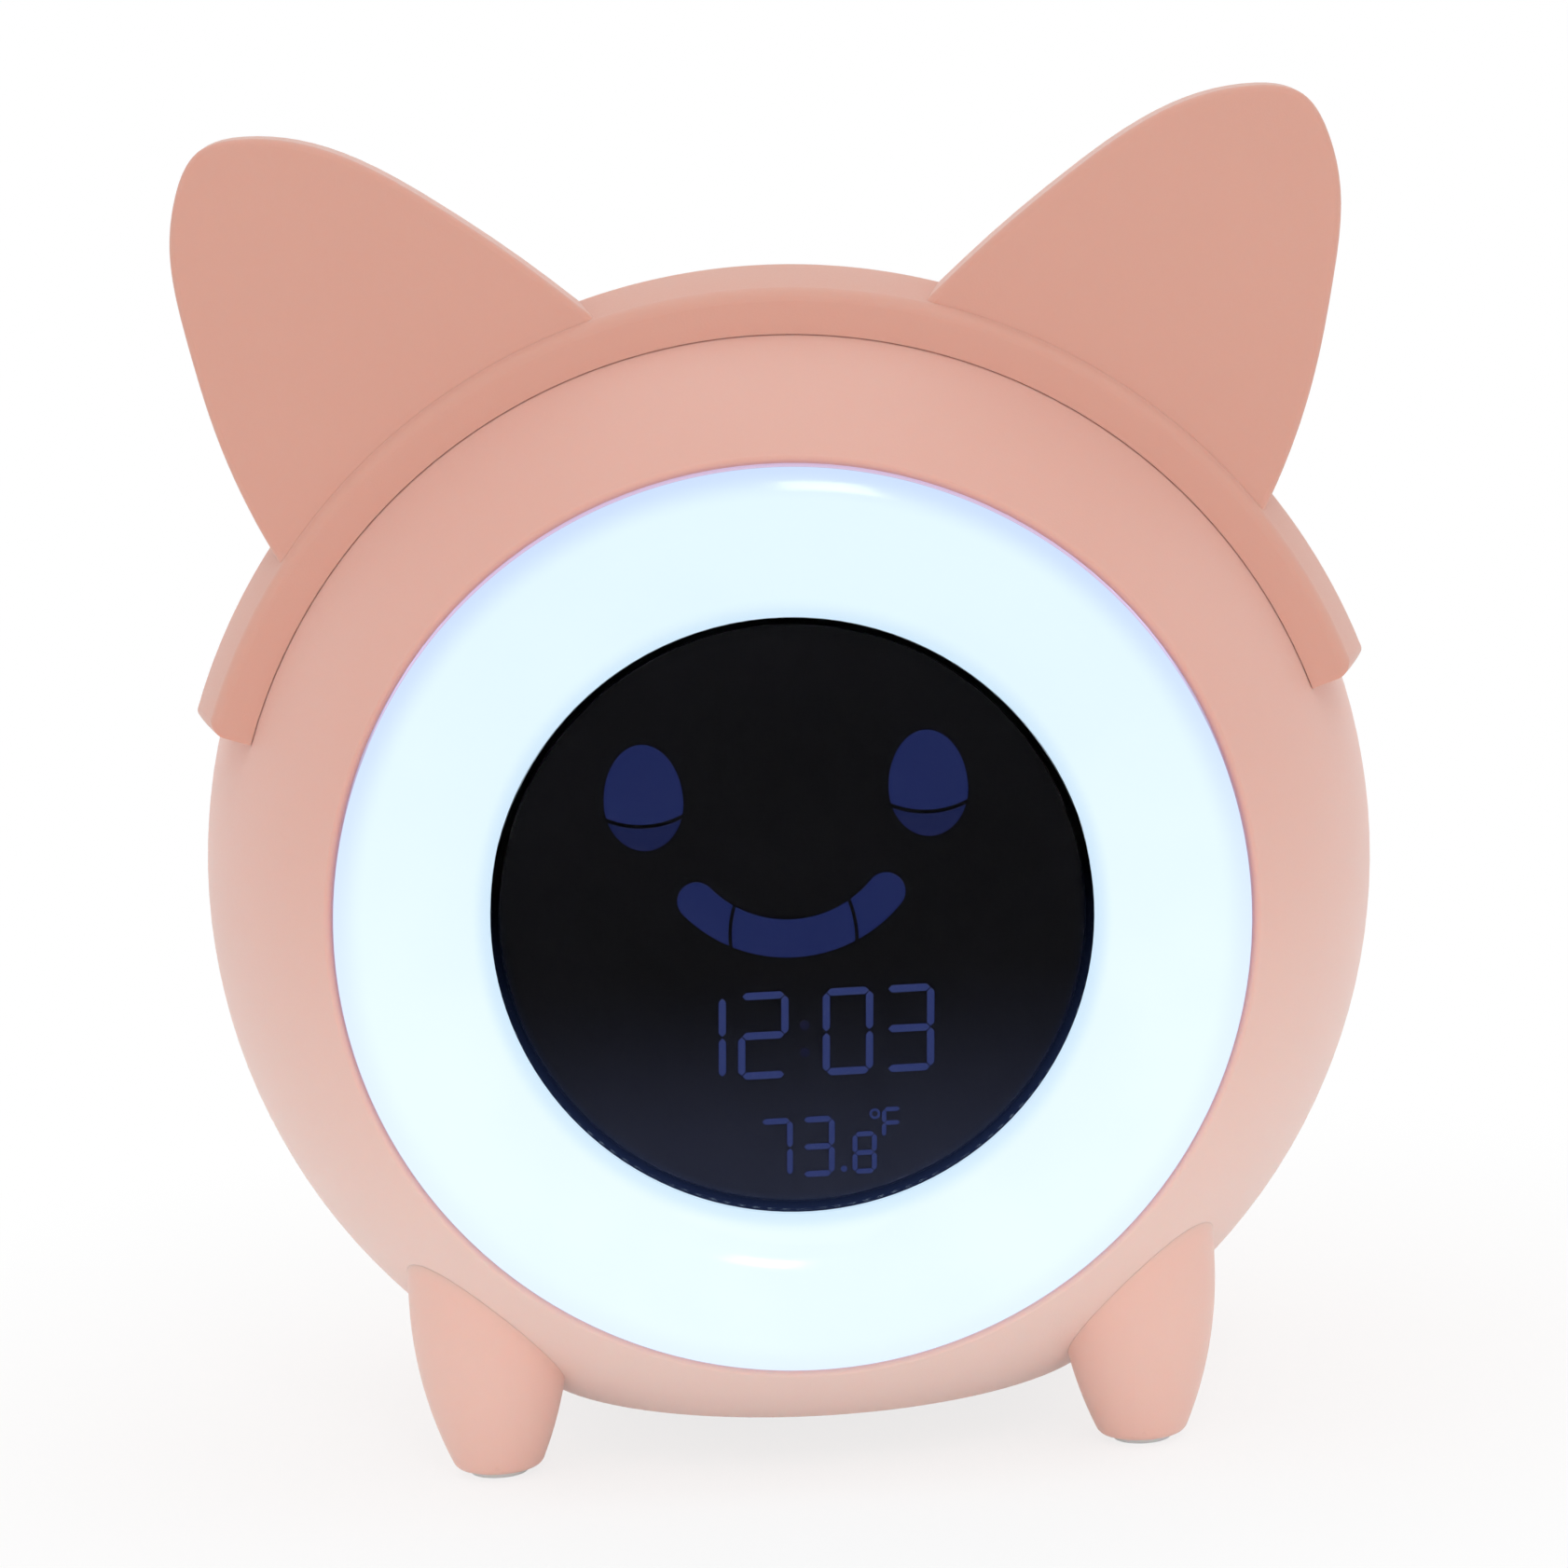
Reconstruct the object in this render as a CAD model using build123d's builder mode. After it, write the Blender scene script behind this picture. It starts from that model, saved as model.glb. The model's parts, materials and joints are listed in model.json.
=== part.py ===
from build123d import *
import os
from math import asin, cos, degrees, radians, sin, sqrt, tan

# Round bedside alarm clock with a night-light ring, a segment display and a headband with two ears.
# Millimetres. +Z is up and the display faces -Y. The origin is on the floor, under the middle of the
# clock's width and depth. "Depth" is counted from the centre of the ball towards the display, and
# "back" from the centre of the ball towards the rear panel. Heights are counted from the ball's centre.

# ---------------------------------------------------------------- driving dimensions
body_diameter = 105.0
wall = 2.2
base_radius = 26.0              # flat underside of the ball
base_clearance = 4.536          # flat underside above the floor
rear_panel_radius = 34.0        # flat rear panel of the ball
rear_edge_round = 1.5
fit_gap = 0.15                  # between pieces that drop into one another
slip_gap = 0.1                  # between round pieces stacked in one another
screw_gap = 0.05                # between a screw and its hole, each side
hole_tail = 0.3                 # screw hole past the end of its screw
cut_margin = 1.0                # a cut through the rear panel starts this far inside it

# Seam between the two housings
tongue_length = 1.8
tongue_thickness = 1.0
tongue_gap = 0.1
seam_groove = 0.25              # depth of the groove along the seam

# Light ring
ring_width = 13.16
ring_crest_inset = 5.12         # ring's foremost circle inside its outer edge
ring_bulge_radius = 9.4         # curvature of the bulge
ring_wall = 1.8
ring_skirt = 5.5                # from the ring's outer edge back to its flange
ring_flange = 0.332             # edge of the ring's flange inside the housing's inner wall
ring_flange_thickness = 1.5
ring_skirt_end = 0.9            # ring's inner skirt ends behind the front of its flange
opening_round = 0.4
collar_width = 1.7

# Display
display_radius = 25.86
lens_chamfer = 0.25
display_recess = 3.15           # window behind the ring's outer edge
lens_thickness = 1.5
lens_air = 0.15
lcd_thickness = 2.2
segment_thickness = 0.1
light_guide_thickness = 5.0
backlight_board_thickness = 1.2
frame_wall = 0.66
frame_floor = 1.4
frame_flange = 4.44             # flange outside the window's edge
frame_post_radius = 2.5
frame_post_inset = 5.86         # posts inside the window's edge
frame_post_length = 10.0
frame_window_length = 24.0      # opening in the frame's floor
frame_window_width = 16.0
frame_window_height = -2.0
pin_count = 20
pin_pitch = 1.4
pin_radius = 0.25
pin_inset = 6.0                 # pins inside the window's edge
pin_slot_margin = 2.0
pin_slot_width = 3.0
pin_flat_gap = 2.0              # flat top of the stacked plates below the pins

# Display segments, in x and height, for a window of segment_art_radius; they grow with the window
segment_art_radius = 25.86
eye_x = 12.2
eye_height = 10.36
eye_half_width = 3.4
eye_above = 5.05
eye_below = 4.15
lid_height = 8.32               # middle of the lid line
lid_rise = 1.36                 # ends of the lid line above its middle
lid_reach = 1.0                 # ends of the lid line outside the eye
lid_line = 0.36
mouth_half_width = 8.15
mouth_bottom = -2.08            # middle of the mouth's band, at its lowest
mouth_corner = 1.60
mouth_band = 3.3
mouth_part_x = 4.95
mouth_part_line = 0.32
mouth_part_bend = ((-0.1, 3.3), (0.45, 0.99), (0.35, -1.49))
digit_slant = 0.052
clock_digits = (("1", -8.45), ("2", -3.05), ("0", 4.25), ("3", 9.52))
clock_height = -10.44
clock_digit_size = (4.35, 7.6)
clock_bar = 0.62
colon_places = ((0.55, -9.72), (0.45, -12.12))
colon_radius = 0.42
degree_digits = (("7", -2.5), ("3", 1.12))
degree_height = -20.45
degree_digit_size = (2.95, 5.3)
degree_bar = 0.5
tenth_place = (5.15, -21.2)
tenth_size = (2.1, 3.7)
tenth_bar = 0.42
point_place = (3.3, -22.55)
point_radius = 0.27
degree_ring_place = (6.2, -17.84)
degree_ring_radius = 0.46
degree_ring_hole = 0.26
unit_place = (7.65, -18.69)
unit_size = (1.75, 2.75)
unit_bar = 0.36
bar_gap = 0.12                  # gap at each end of a bar, as a part of its width

# Reflector, LED board and LEDs
reflector_wall = 1.4
reflector_lip = 3.6             # reflector's outer wall in front of the ring's flange
reflector_gap = 0.2             # reflector inside the ring's skirt
reflector_hole_gap = 0.14       # reflector's hole outside the display frame
reflector_rim_inset = 0.8       # reflector's rim inside the edge of the ring's flange
led_board_thickness = 1.2
led_count = 12
led_size = 5.0
led_thickness = 1.6
led_window_gap = 0.3
led_lens_radius = 1.9
led_lens_depth = 0.3
lug_radius = 1.6                # screw lugs of the reflector and the LED board
lug_gap = 0.2                   # lugs inside the housing's inner wall
lug_overlap = 1.0
ring_screw_angles = (90, 200, 340)
frame_screw_angles = (30, 150, 270)
frame_screw_offset = 2.44       # screws of the display frame outside the window's edge

# Main board
main_board_radius = 38.0
board_thickness = 1.6
socket_length = 6.0
socket_width = 4.0
socket_count = 4
socket_spacing = 9.0
socket_row_height = 28.0
chip_pin_pitch = 1.27
chip_pin_width = 0.45
chip_pin_length = 1.2
chip_pin_thickness = 0.4
chip_pin_reach = 0.5            # middle of the pins outside the package
chip_chamfer = 0.2
controller_place = (9.32, -4.0)  # from the frame's screw beside it
controller_size = (12.0, 12.0, 1.4)
sound_place = (12.0, -6.0)
sound_size = (8.0, 5.2, 1.6)
capacitor_places = ((-22.0, -8.0), (-22.0, -15.0))
capacitor_radius = 2.5
capacitor_length = 6.0
capacitor_round = 0.4
tap_sensor_place = (24.0, 8.0)
tap_sensor_radius = 2.4
tap_sensor_length = 9.0
tap_sensor_round = 0.6
thermistor_place = (0.0, -34.0)
thermistor_radius = 1.2
thermistor_length = 3.2
thermistor_round = 0.9

# Screws
small_screw_radius = 1.0
small_screw_length = 6.0
small_head_radius = 1.9
small_head_height = 1.4
case_screw_radius = 1.5
case_screw_length = 20.0
case_screw_seat = 8.0           # head's seat behind the seam
case_head_radius = 2.8
case_head_height = 2.2
case_screw_angle = 28.0         # above and below the horizontal
case_screw_inset = 4.8          # screw line inside the housing's inner wall
case_post_wall = 2.0
case_well_gap = 0.4             # around the head of a case screw
case_well_wall = 0.8
case_pass_gap = 0.2             # around the shank of a case screw in the rear housing
case_hole_tail = 2.0
leg_screw_length = 15.0
leg_head_radius = 2.7
leg_head_height = 2.0
leg_hole_tail = 0.5
drive_depth = 0.9
drive_span = 1.1                # cross recess, as a part of the head's radius
drive_width = 0.26
head_round = 0.35               # rounding of a head, as a part of its height

# Legs
leg_x = 28.5
leg_y = 21.9                    # in front of and behind the ball's centre
leg_radius = 7.05
leg_taper_height = 15.65        # above the floor, where the leg starts to taper
leg_tip_radius = 3.75
leg_tip_round = 1.1
pad_radius = 2.6
pad_thickness = 0.5
pad_round = 0.2
leg_boss_radius = 3.5
leg_boss_height = 4.39          # above the housing's inner wall at the leg's axis

# Headband and ears
band_front = 19.4
band_length = 7.5
band_thickness = 3.43
band_gap = 0.1
band_end_angle = 18.5           # above the horizontal
band_round = 1.2                # outer rims, front, back and at both ends
ear_front = 18.4
ear_thickness = 5.0
ear_round = 0.6
ear_rear_round = 0.2
ear_root_inset = 1.1            # ear's foot inside the band's outer skin
ear_angle = 55.25               # middle of the ear, above the horizontal
ear_foot_half_width = 17.6
ear_outline = (                 # across and outwards from the middle of the ear's foot
    (-15.25, 5.93),
    (-12.55, 14.0),
    (-7.3, 24.6),
    (-3.05, 28.75),
    (0.8, 30.35),
    (5.0, 28.4),
    (8.1, 25.2),
    (11.8, 18.2),
    (14.8, 10.54),
)
peg_x = 22.0
peg_radius = 1.5
peg_length = 4.5
peg_root = 2.06                 # peg inside the band
peg_boss_wall = 1.2
peg_boss_floor = 2.0
peg_hole_tail = 0.5

# Rear panel: keys, speaker and USB inlet
key_count = 5
key_pitch = 10.0
key_row_height = 16.0
key_radius = 4.0
key_proud = 1.2
key_travel = 0.6
key_flange = 0.7
key_flange_thickness = 1.3
key_flange_gap = 0.1
key_stem_radius = 1.5
key_stem_length = 3.4
key_round = 0.5
key_mark_depth = 0.25
mark_span = 3.4
mark_line = 0.6
bell_radius = 1.3
bell_rise = 0.5
bell_rim_drop = 0.9
moon_bite_radius = 1.4
moon_bite_place = (0.8, 0.5)
plunger_radius = 1.6
plunger_gap = 0.1
plunger_length = 1.4
plunger_out = 0.8               # plunger above its switch at rest
plunger_floor_gap = 0.2
switch_size = 6.0
switch_height = 3.0
key_board_width = 13.0
key_board_thickness = 1.2
key_board_round = 2.0
key_board_margin = 2.3          # board's end outside its screw
key_post_offset = 7.5           # screw outside the last key
post_radius = 2.2
speaker_height = -9.0
speaker_radius = 14.0
speaker_ear_x = 16.5
speaker_flange = 1.0
speaker_rim = 2.5
speaker_basket_depth = 4.8
speaker_basket_wall = 0.8
speaker_basket_step = 1.1       # basket's mouth outside the cone's edge
speaker_basket_hole = 3.0
speaker_cap_radius = 3.2
speaker_cap_depth = 3.0
speaker_cap_rise = 0.8          # cap's middle above its edge
speaker_cap_thickness = 0.8
speaker_cone_edge = 0.3
magnet_radius = 8.5
magnet_height = 4.7
magnet_round = 0.5
magnet_seat = 0.7               # basket's floor outside the magnet
gasket_thickness = 0.8
speaker_collar = 3.0
grille_hole_radius = 0.9
grille_pitch = 3.4
grille_rings = 3
usb_height = -27.0
usb_width = 9.0
usb_thickness = 3.2
usb_length = 7.6
usb_shell_wall = 0.35
usb_round = 1.55
usb_tongue_width = 6.7
usb_tongue_thickness = 0.7
usb_tongue_round = 0.25
usb_tongue_inset = 0.8
usb_recess = 0.8                # socket's mouth below the panel's face
usb_gap = 0.2
usb_board_width = 18.0
usb_board_length = 13.4
usb_board_gap = 0.4             # board's rear edge in front of the panel
usb_post_x = 6.8
usb_post_radius = 2.0
usb_post_inset = 4.0            # posts behind the board's front edge
reset_hole_radius = 0.75
reset_hole_x = -13.75

# Cell
cell_radius = 7.1
cell_length = 48.5
cell_back = 13.5
cell_height = -32.0
cell_nub_radius = 2.8
cell_nub = 1.0
cell_round = 0.6
cell_seat_gap = 0.05
rib_x = 16.0
rib_thickness = 3.0
rib_margin = 1.5                # rib beyond the cell
rib_drop = 2.0                  # top of the ribs below the cell's axis
strap_width = 8.0
strap_thickness = 1.2
strap_foot = 4.4                # strap's foot outside its arch
strap_screw = 2.2               # strap's screw outside its arch

# Leads
wire_radius = 0.6
wire_spacing = 1.5
wire_bend = 0.45                # part of each run that a bend takes up
led_lead_inset = 6.1            # leads of the LED board inside the ring's outer edge
led_lead_straight = 4.0         # straight run at both ends of a lead
led_lead_height = 3.0           # ends above and below the middle
key_lead_straight = 9.0
key_lead_x = -22.5
speaker_lead_straight = 13.0
speaker_lead_end = 9.0          # straight run in front of the speaker's flange
speaker_lead_x = -2.5
speaker_lead_rise = 13.1        # above the speaker's axis
usb_lead_straight = 10.0
usb_lead_back = 21.0            # upper bend behind the sockets
usb_lead_upper_x = 13.0
usb_lead_lower_x = 9.0
usb_lead_ahead = 3.0            # lower bend in front of the inlet's board
usb_lead_lower_rise = 12.0      # lower bend above the inlet
usb_lead_landing = 1.3          # ends behind the board's front edge
usb_lead_end_x = 5.5
usb_lead_end_rise = 6.0
cell_lead_straight = 5.0
cell_lead_back = 8.0            # first bend behind the sockets
cell_lead_spread = 16.0         # first bend beside the middle
cell_lead_height = 15.0
cell_lead_reach = 9.75          # widest bends beyond the cell's end
cell_lead_ahead = 4.5           # widest bend in front of the cell
cell_lead_low = -3.0
cell_lead_rise = 8.0            # last but one bend above the cell's axis
cell_lead_tail = 6.25

# ---------------------------------------------------------------- worked-out sizes
ball_radius = body_diameter / 2
inner_radius = ball_radius - wall
base_drop = sqrt(ball_radius ** 2 - base_radius ** 2)
rear_back = sqrt(ball_radius ** 2 - rear_panel_radius ** 2)
panel_inside = rear_back - wall
ring_inner_radius = display_radius + slip_gap
ring_outer_radius = ring_inner_radius + ring_width
ring_crest_radius = ring_outer_radius - ring_crest_inset
ring_edge = sqrt(ball_radius ** 2 - ring_outer_radius ** 2)
ring_centre = ring_edge - sqrt(ring_bulge_radius ** 2 - (ring_outer_radius - ring_crest_radius) ** 2)
front_depth = ring_centre + ring_bulge_radius
rear_depth = rear_back + key_proud
centre_y = (front_depth - rear_depth) / 2
centre_z = base_drop + base_clearance
centre = (0, centre_y, centre_z)
spin_axis = Axis(centre, (0, -1, 0))

ring_seat = ring_edge - ring_skirt
ring_back = ring_seat - ring_flange_thickness
ring_flange_radius = sqrt(inner_radius ** 2 - ring_seat ** 2) - ring_flange
opening_radius = ring_outer_radius + fit_gap
lens_front = ring_edge - display_recess
lens_back = lens_front - lens_thickness
lcd_front = lens_back - lens_air
lcd_back = lcd_front - lcd_thickness
guide_back = lcd_back - light_guide_thickness
frame_front = guide_back - backlight_board_thickness
frame_back = frame_front - frame_floor
frame_flange_radius = display_radius + frame_flange
frame_screw_circle = display_radius + frame_screw_offset
frame_post_circle = display_radius - frame_post_inset
stack_radius = display_radius - frame_wall - slip_gap
pin_height = display_radius - pin_inset
segment_scale = display_radius / segment_art_radius
led_board_back = frame_front
reflector_back = led_board_back + led_board_thickness
board_front = frame_back - frame_post_length
board_back = board_front - board_thickness
reflector_outer = ring_outer_radius - ring_wall - reflector_gap
reflector_inner = display_radius + reflector_hole_gap
led_circle = (reflector_inner + reflector_outer) / 2
lug_reach = sqrt(inner_radius ** 2 - (reflector_back + reflector_wall) ** 2) - lug_gap
ring_screw_circle = lug_reach - lug_radius
boss_circle = inner_radius - case_screw_inset
case_points = [
    (sx * boss_circle * cos(radians(case_screw_angle)), sz * boss_circle * sin(radians(case_screw_angle)))
    for sx in (-1, 1)
    for sz in (-1, 1)
]
key_board_back = panel_inside - key_flange_gap - key_flange_thickness - key_stem_length
key_board_back = key_board_back - plunger_out - switch_height - key_board_thickness
key_offset = (key_count - 1) / 2 * key_pitch
key_post_x = key_offset + key_post_offset
key_board_length = 2 * (key_post_x + key_board_margin)
speaker_flange_back = panel_inside - speaker_collar - gasket_thickness
usb_board_top = usb_height - usb_thickness / 2
usb_board_front = panel_inside - usb_board_gap - usb_board_length
usb_post_back = usb_board_front + usb_post_inset
usb_mouth = rear_back - usb_recess
strap_inner = cell_radius + slip_gap
strap_outer = strap_inner + strap_thickness
strap_reach = strap_outer + strap_foot
strap_screw_place = strap_outer + strap_screw
rib_top = cell_height - rib_drop
leg_boss_level = sqrt(inner_radius ** 2 - leg_x ** 2 - leg_y ** 2) - leg_boss_height

# ---------------------------------------------------------------- planes and shared shapes
section = Plane(origin=centre, x_dir=(1, 0, 0), z_dir=(0, 0, -1))   # x is a radius, y is a depth


def facing(depth, x=0, height=0):
    """Plane that faces the front, at a depth in front of the ball's centre."""
    return Plane(origin=(x, centre_y - depth, centre_z + height), x_dir=(1, 0, 0), z_dir=(0, -1, 0))


def backing(back, x=0, height=0):
    """Plane that faces the rear, at a distance behind the ball's centre; its x runs to the left, -X."""
    return Plane(origin=(x, centre_y + back, centre_z + height), x_dir=(-1, 0, 0), z_dir=(0, 1, 0))


def level(height, x=0, back=0):
    """Plane that faces up, at a height above the ball's centre."""
    return Plane(origin=(x, centre_y + back, centre_z + height))


def ball(skin):
    """The ball with its flat base and rear panel, its surface moved inwards by skin."""
    with BuildPart() as shape:
        with BuildSketch(section) as profile:
            Circle(ball_radius - skin)
            with Locations((0, skin - rear_back)):
                corner = (Align.MIN, Align.MIN)
                Rectangle(body_diameter, 2 * body_diameter, align=corner, mode=Mode.INTERSECT)
            fillet(profile.vertices().group_by(Axis.Y)[0].sort_by(Axis.X)[-1], rear_edge_round)
        revolve(axis=spin_axis)
        split(bisect_by=level(skin - base_drop), keep=Keep.TOP)
    return shape.part


def screw(plane, radius, length, head_radius, head_height):
    """Pan-head screw: its head stands on the plane and its shank goes below it."""
    with BuildPart() as shape:
        with BuildSketch(plane):
            Circle(head_radius)
        extrude(amount=head_height)
        top = shape.faces().sort_by(Axis(plane.origin, plane.z_dir))[-1]
        fillet(top.edges(), head_height * head_round)
        with BuildSketch(plane):
            Circle(radius)
        extrude(amount=-length)
        with BuildSketch(plane.offset(head_height)):
            Rectangle(head_radius * drive_span, head_radius * drive_width)
            Rectangle(head_radius * drive_width, head_radius * drive_span)
        extrude(amount=-drive_depth, mode=Mode.SUBTRACT)
    return shape.part


def save(part, name):
    part.label = name
    export_step(part, f"parts/{name}.step")


def polar(radius, angle):
    return (radius * cos(radians(angle)), radius * sin(radians(angle)))


os.makedirs("parts", exist_ok=True)
outer_ball = ball(0)
middle_ball = ball(wall / 2)
inner_ball = ball(wall)

# ---------------------------------------------------------------- front housing
tongue_top_ball = ball(wall - tongue_thickness)
groove_ball = ball(wall - tongue_thickness - tongue_gap)
peg_back = ear_thickness / 2 - ear_front
peg_foot = sqrt(ball_radius ** 2 - peg_x ** 2 - peg_back ** 2)

with BuildPart() as groove_ring:
    with BuildSketch(section):
        rim = ball_radius + seam_groove
        Polygon(
            (ball_radius - seam_groove, 0),
            (rim, -2 * seam_groove),
            (rim, 2 * seam_groove),
            align=None,
        )
    revolve(axis=spin_axis)

with BuildPart() as front_posts:
    with BuildSketch(facing(0)):
        with Locations(*case_points):
            Circle(case_screw_radius + case_post_wall)
    extrude(amount=case_screw_length)
    with BuildSketch(level(-leg_boss_level)):
        with Locations((-leg_x, -leg_y), (leg_x, -leg_y)):
            Circle(leg_boss_radius)
    extrude(amount=-ball_radius)
    with BuildSketch(level(peg_foot, back=peg_back)):
        with Locations((-peg_x, 0), (peg_x, 0)):
            Circle(peg_radius + fit_gap + peg_boss_wall)
    extrude(amount=-peg_length - peg_boss_floor)
    with BuildSketch(facing(reflector_back + reflector_wall)):
        with Locations(*[polar(ring_screw_circle, angle) for angle in ring_screw_angles]):
            Circle(lug_radius)
    extrude(amount=ring_skirt)
    add(middle_ball, mode=Mode.INTERSECT)

with BuildPart() as front_housing:
    add(outer_ball)
    add(inner_ball, mode=Mode.SUBTRACT)
    split(bisect_by=facing(0), keep=Keep.TOP)
    add(front_posts.part)
    with BuildSketch(facing(ring_seat)):
        Circle(opening_radius + collar_width)
        Circle(opening_radius, mode=Mode.SUBTRACT)
    extrude(amount=wall)
    with BuildSketch(facing(ring_seat - wall)):
        Circle(opening_radius)
    extrude(amount=ball_radius, mode=Mode.SUBTRACT)
    fillet(front_housing.edges().filter_by(GeomType.CIRCLE).sort_by(Axis.Y)[0], opening_round)
    with BuildPart(mode=Mode.PRIVATE) as groove:
        add(groove_ball)
        split(bisect_by=facing(0), keep=Keep.TOP)
        split(bisect_by=facing(tongue_length + tongue_gap), keep=Keep.BOTTOM)
        add(inner_ball, mode=Mode.SUBTRACT)
    add(groove.part, mode=Mode.SUBTRACT)
    with BuildSketch(facing(0)):
        with Locations(*case_points):
            Circle(case_screw_radius + screw_gap)
    extrude(amount=case_screw_length - case_screw_seat + case_hole_tail, mode=Mode.SUBTRACT)
    with BuildSketch(level(-leg_boss_level)):
        with Locations((-leg_x, -leg_y), (leg_x, -leg_y)):
            Circle(case_screw_radius + screw_gap)
    extrude(amount=-ball_radius, mode=Mode.SUBTRACT)
    with BuildSketch(level(peg_foot - peg_length - peg_hole_tail, back=peg_back)):
        with Locations((-peg_x, 0), (peg_x, 0)):
            Circle(peg_radius + fit_gap)
    extrude(amount=ball_radius, mode=Mode.SUBTRACT)
    with BuildSketch(facing(reflector_back)):
        with Locations(*[polar(ring_screw_circle, angle) for angle in ring_screw_angles]):
            Circle(small_screw_radius + screw_gap)
    extrude(amount=small_screw_length - led_board_thickness + hole_tail, mode=Mode.SUBTRACT)
    add(groove_ring.part, mode=Mode.SUBTRACT)
save(front_housing.part, "front_housing")

# ---------------------------------------------------------------- rear housing
with BuildPart() as rear_posts:
    with BuildSketch(facing(0)):
        with Locations(*case_points):
            Circle(case_head_radius + case_well_gap + case_well_wall)
    extrude(amount=-rear_back)
    with BuildSketch(level(-leg_boss_level)):
        with Locations((-leg_x, leg_y), (leg_x, leg_y)):
            Circle(leg_boss_radius)
    extrude(amount=-ball_radius)
    with BuildSketch(backing(key_board_back + key_board_thickness, height=key_row_height)):
        with Locations((-key_post_x, 0), (key_post_x, 0)):
            Circle(post_radius)
    extrude(amount=ball_radius)
    with BuildSketch(backing(panel_inside - speaker_collar, height=speaker_height)):
        Circle(speaker_radius)
        Circle(speaker_radius - speaker_rim, mode=Mode.SUBTRACT)
    extrude(amount=ball_radius)
    with BuildSketch(backing(speaker_flange_back, height=speaker_height)):
        with Locations((-speaker_ear_x, 0), (speaker_ear_x, 0)):
            Circle(post_radius)
    extrude(amount=ball_radius)
    with BuildSketch(level(usb_board_top - key_board_thickness, back=usb_post_back)):
        with Locations((-usb_post_x, 0), (usb_post_x, 0)):
            Circle(usb_post_radius)
    extrude(amount=-ball_radius)
    with BuildSketch(level(rib_top, back=cell_back)):
        Rectangle(strap_width, 2 * strap_reach)
        with Locations((-rib_x, 0), (rib_x, 0)):
            Rectangle(rib_thickness, 2 * (cell_radius + rib_margin))
    extrude(amount=-ball_radius)
    add(middle_ball, mode=Mode.INTERSECT)

with BuildPart() as seam_tongue:
    add(tongue_top_ball)
    split(bisect_by=facing(-wall), keep=Keep.TOP)
    split(bisect_by=facing(tongue_length), keep=Keep.BOTTOM)

with BuildPart() as rear_housing:
    add(outer_ball)
    split(bisect_by=facing(0), keep=Keep.BOTTOM)
    add(seam_tongue.part)
    add(inner_ball, mode=Mode.SUBTRACT)
    add(rear_posts.part)
    with BuildSketch(facing(-case_screw_seat)):
        with Locations(*case_points):
            Circle(case_head_radius + case_well_gap)
    extrude(amount=-ball_radius, mode=Mode.SUBTRACT)
    with BuildSketch(facing(0)):
        with Locations(*case_points):
            Circle(case_screw_radius + case_pass_gap)
    extrude(amount=-ball_radius, mode=Mode.SUBTRACT)
    with BuildSketch(level(-leg_boss_level)):
        with Locations((-leg_x, leg_y), (leg_x, leg_y)):
            Circle(case_screw_radius + screw_gap)
    extrude(amount=-ball_radius, mode=Mode.SUBTRACT)
    with BuildSketch(backing(panel_inside - cut_margin, height=key_row_height)):
        with GridLocations(key_pitch, 1, key_count, 1):
            Circle(key_radius + fit_gap)
    extrude(amount=ball_radius, mode=Mode.SUBTRACT)
    with BuildSketch(backing(key_board_back, height=key_row_height)):
        with Locations((-key_post_x, 0), (key_post_x, 0)):
            Circle(small_screw_radius + screw_gap)
    extrude(amount=small_screw_length + hole_tail, mode=Mode.SUBTRACT)
    with BuildSketch(backing(panel_inside - cut_margin, height=speaker_height)):
        Circle(grille_hole_radius)
        for ring in range(1, grille_rings + 1):
            with PolarLocations(ring * grille_pitch, 6 * ring):
                Circle(grille_hole_radius)
    extrude(amount=ball_radius, mode=Mode.SUBTRACT)
    with BuildSketch(backing(speaker_flange_back - speaker_flange, height=speaker_height)):
        with Locations((-speaker_ear_x, 0), (speaker_ear_x, 0)):
            Circle(small_screw_radius + screw_gap)
    extrude(amount=small_screw_length + hole_tail, mode=Mode.SUBTRACT)
    with BuildSketch(backing(panel_inside - cut_margin, height=usb_height)):
        RectangleRounded(usb_width + 2 * usb_gap, usb_thickness + 2 * usb_gap, usb_thickness / 2)
    extrude(amount=ball_radius, mode=Mode.SUBTRACT)
    with BuildSketch(backing(panel_inside - cut_margin, x=reset_hole_x, height=usb_height)):
        Circle(reset_hole_radius)
    extrude(amount=ball_radius, mode=Mode.SUBTRACT)
    with BuildSketch(level(usb_board_top, back=usb_post_back)):
        with Locations((-usb_post_x, 0), (usb_post_x, 0)):
            Circle(small_screw_radius + screw_gap)
    extrude(amount=-small_screw_length - hole_tail, mode=Mode.SUBTRACT)
    with BuildSketch(level(rib_top + strap_thickness, back=cell_back)):
        with Locations((0, -strap_screw_place), (0, strap_screw_place)):
            Circle(small_screw_radius + screw_gap)
    extrude(amount=-small_screw_length - hole_tail, mode=Mode.SUBTRACT)
    with Locations(Location((0, centre_y + cell_back, centre_z + cell_height), (0, 90, 0))):
        Cylinder(cell_radius + cell_seat_gap, cell_length + 2 * cell_nub + cell_seat_gap, mode=Mode.SUBTRACT)
    add(groove_ring.part, mode=Mode.SUBTRACT)
save(rear_housing.part, "rear_housing")

# ---------------------------------------------------------------- light ring and display window
skirt_radius = ring_outer_radius - ring_wall
inner_skirt_radius = ring_inner_radius + ring_wall
inner_bulge = ring_bulge_radius - ring_wall


def bulge(radius, curvature):
    """Depth of the ring's bulge at a radius."""
    return ring_centre + sqrt(curvature ** 2 - (radius - ring_crest_radius) ** 2)


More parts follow.
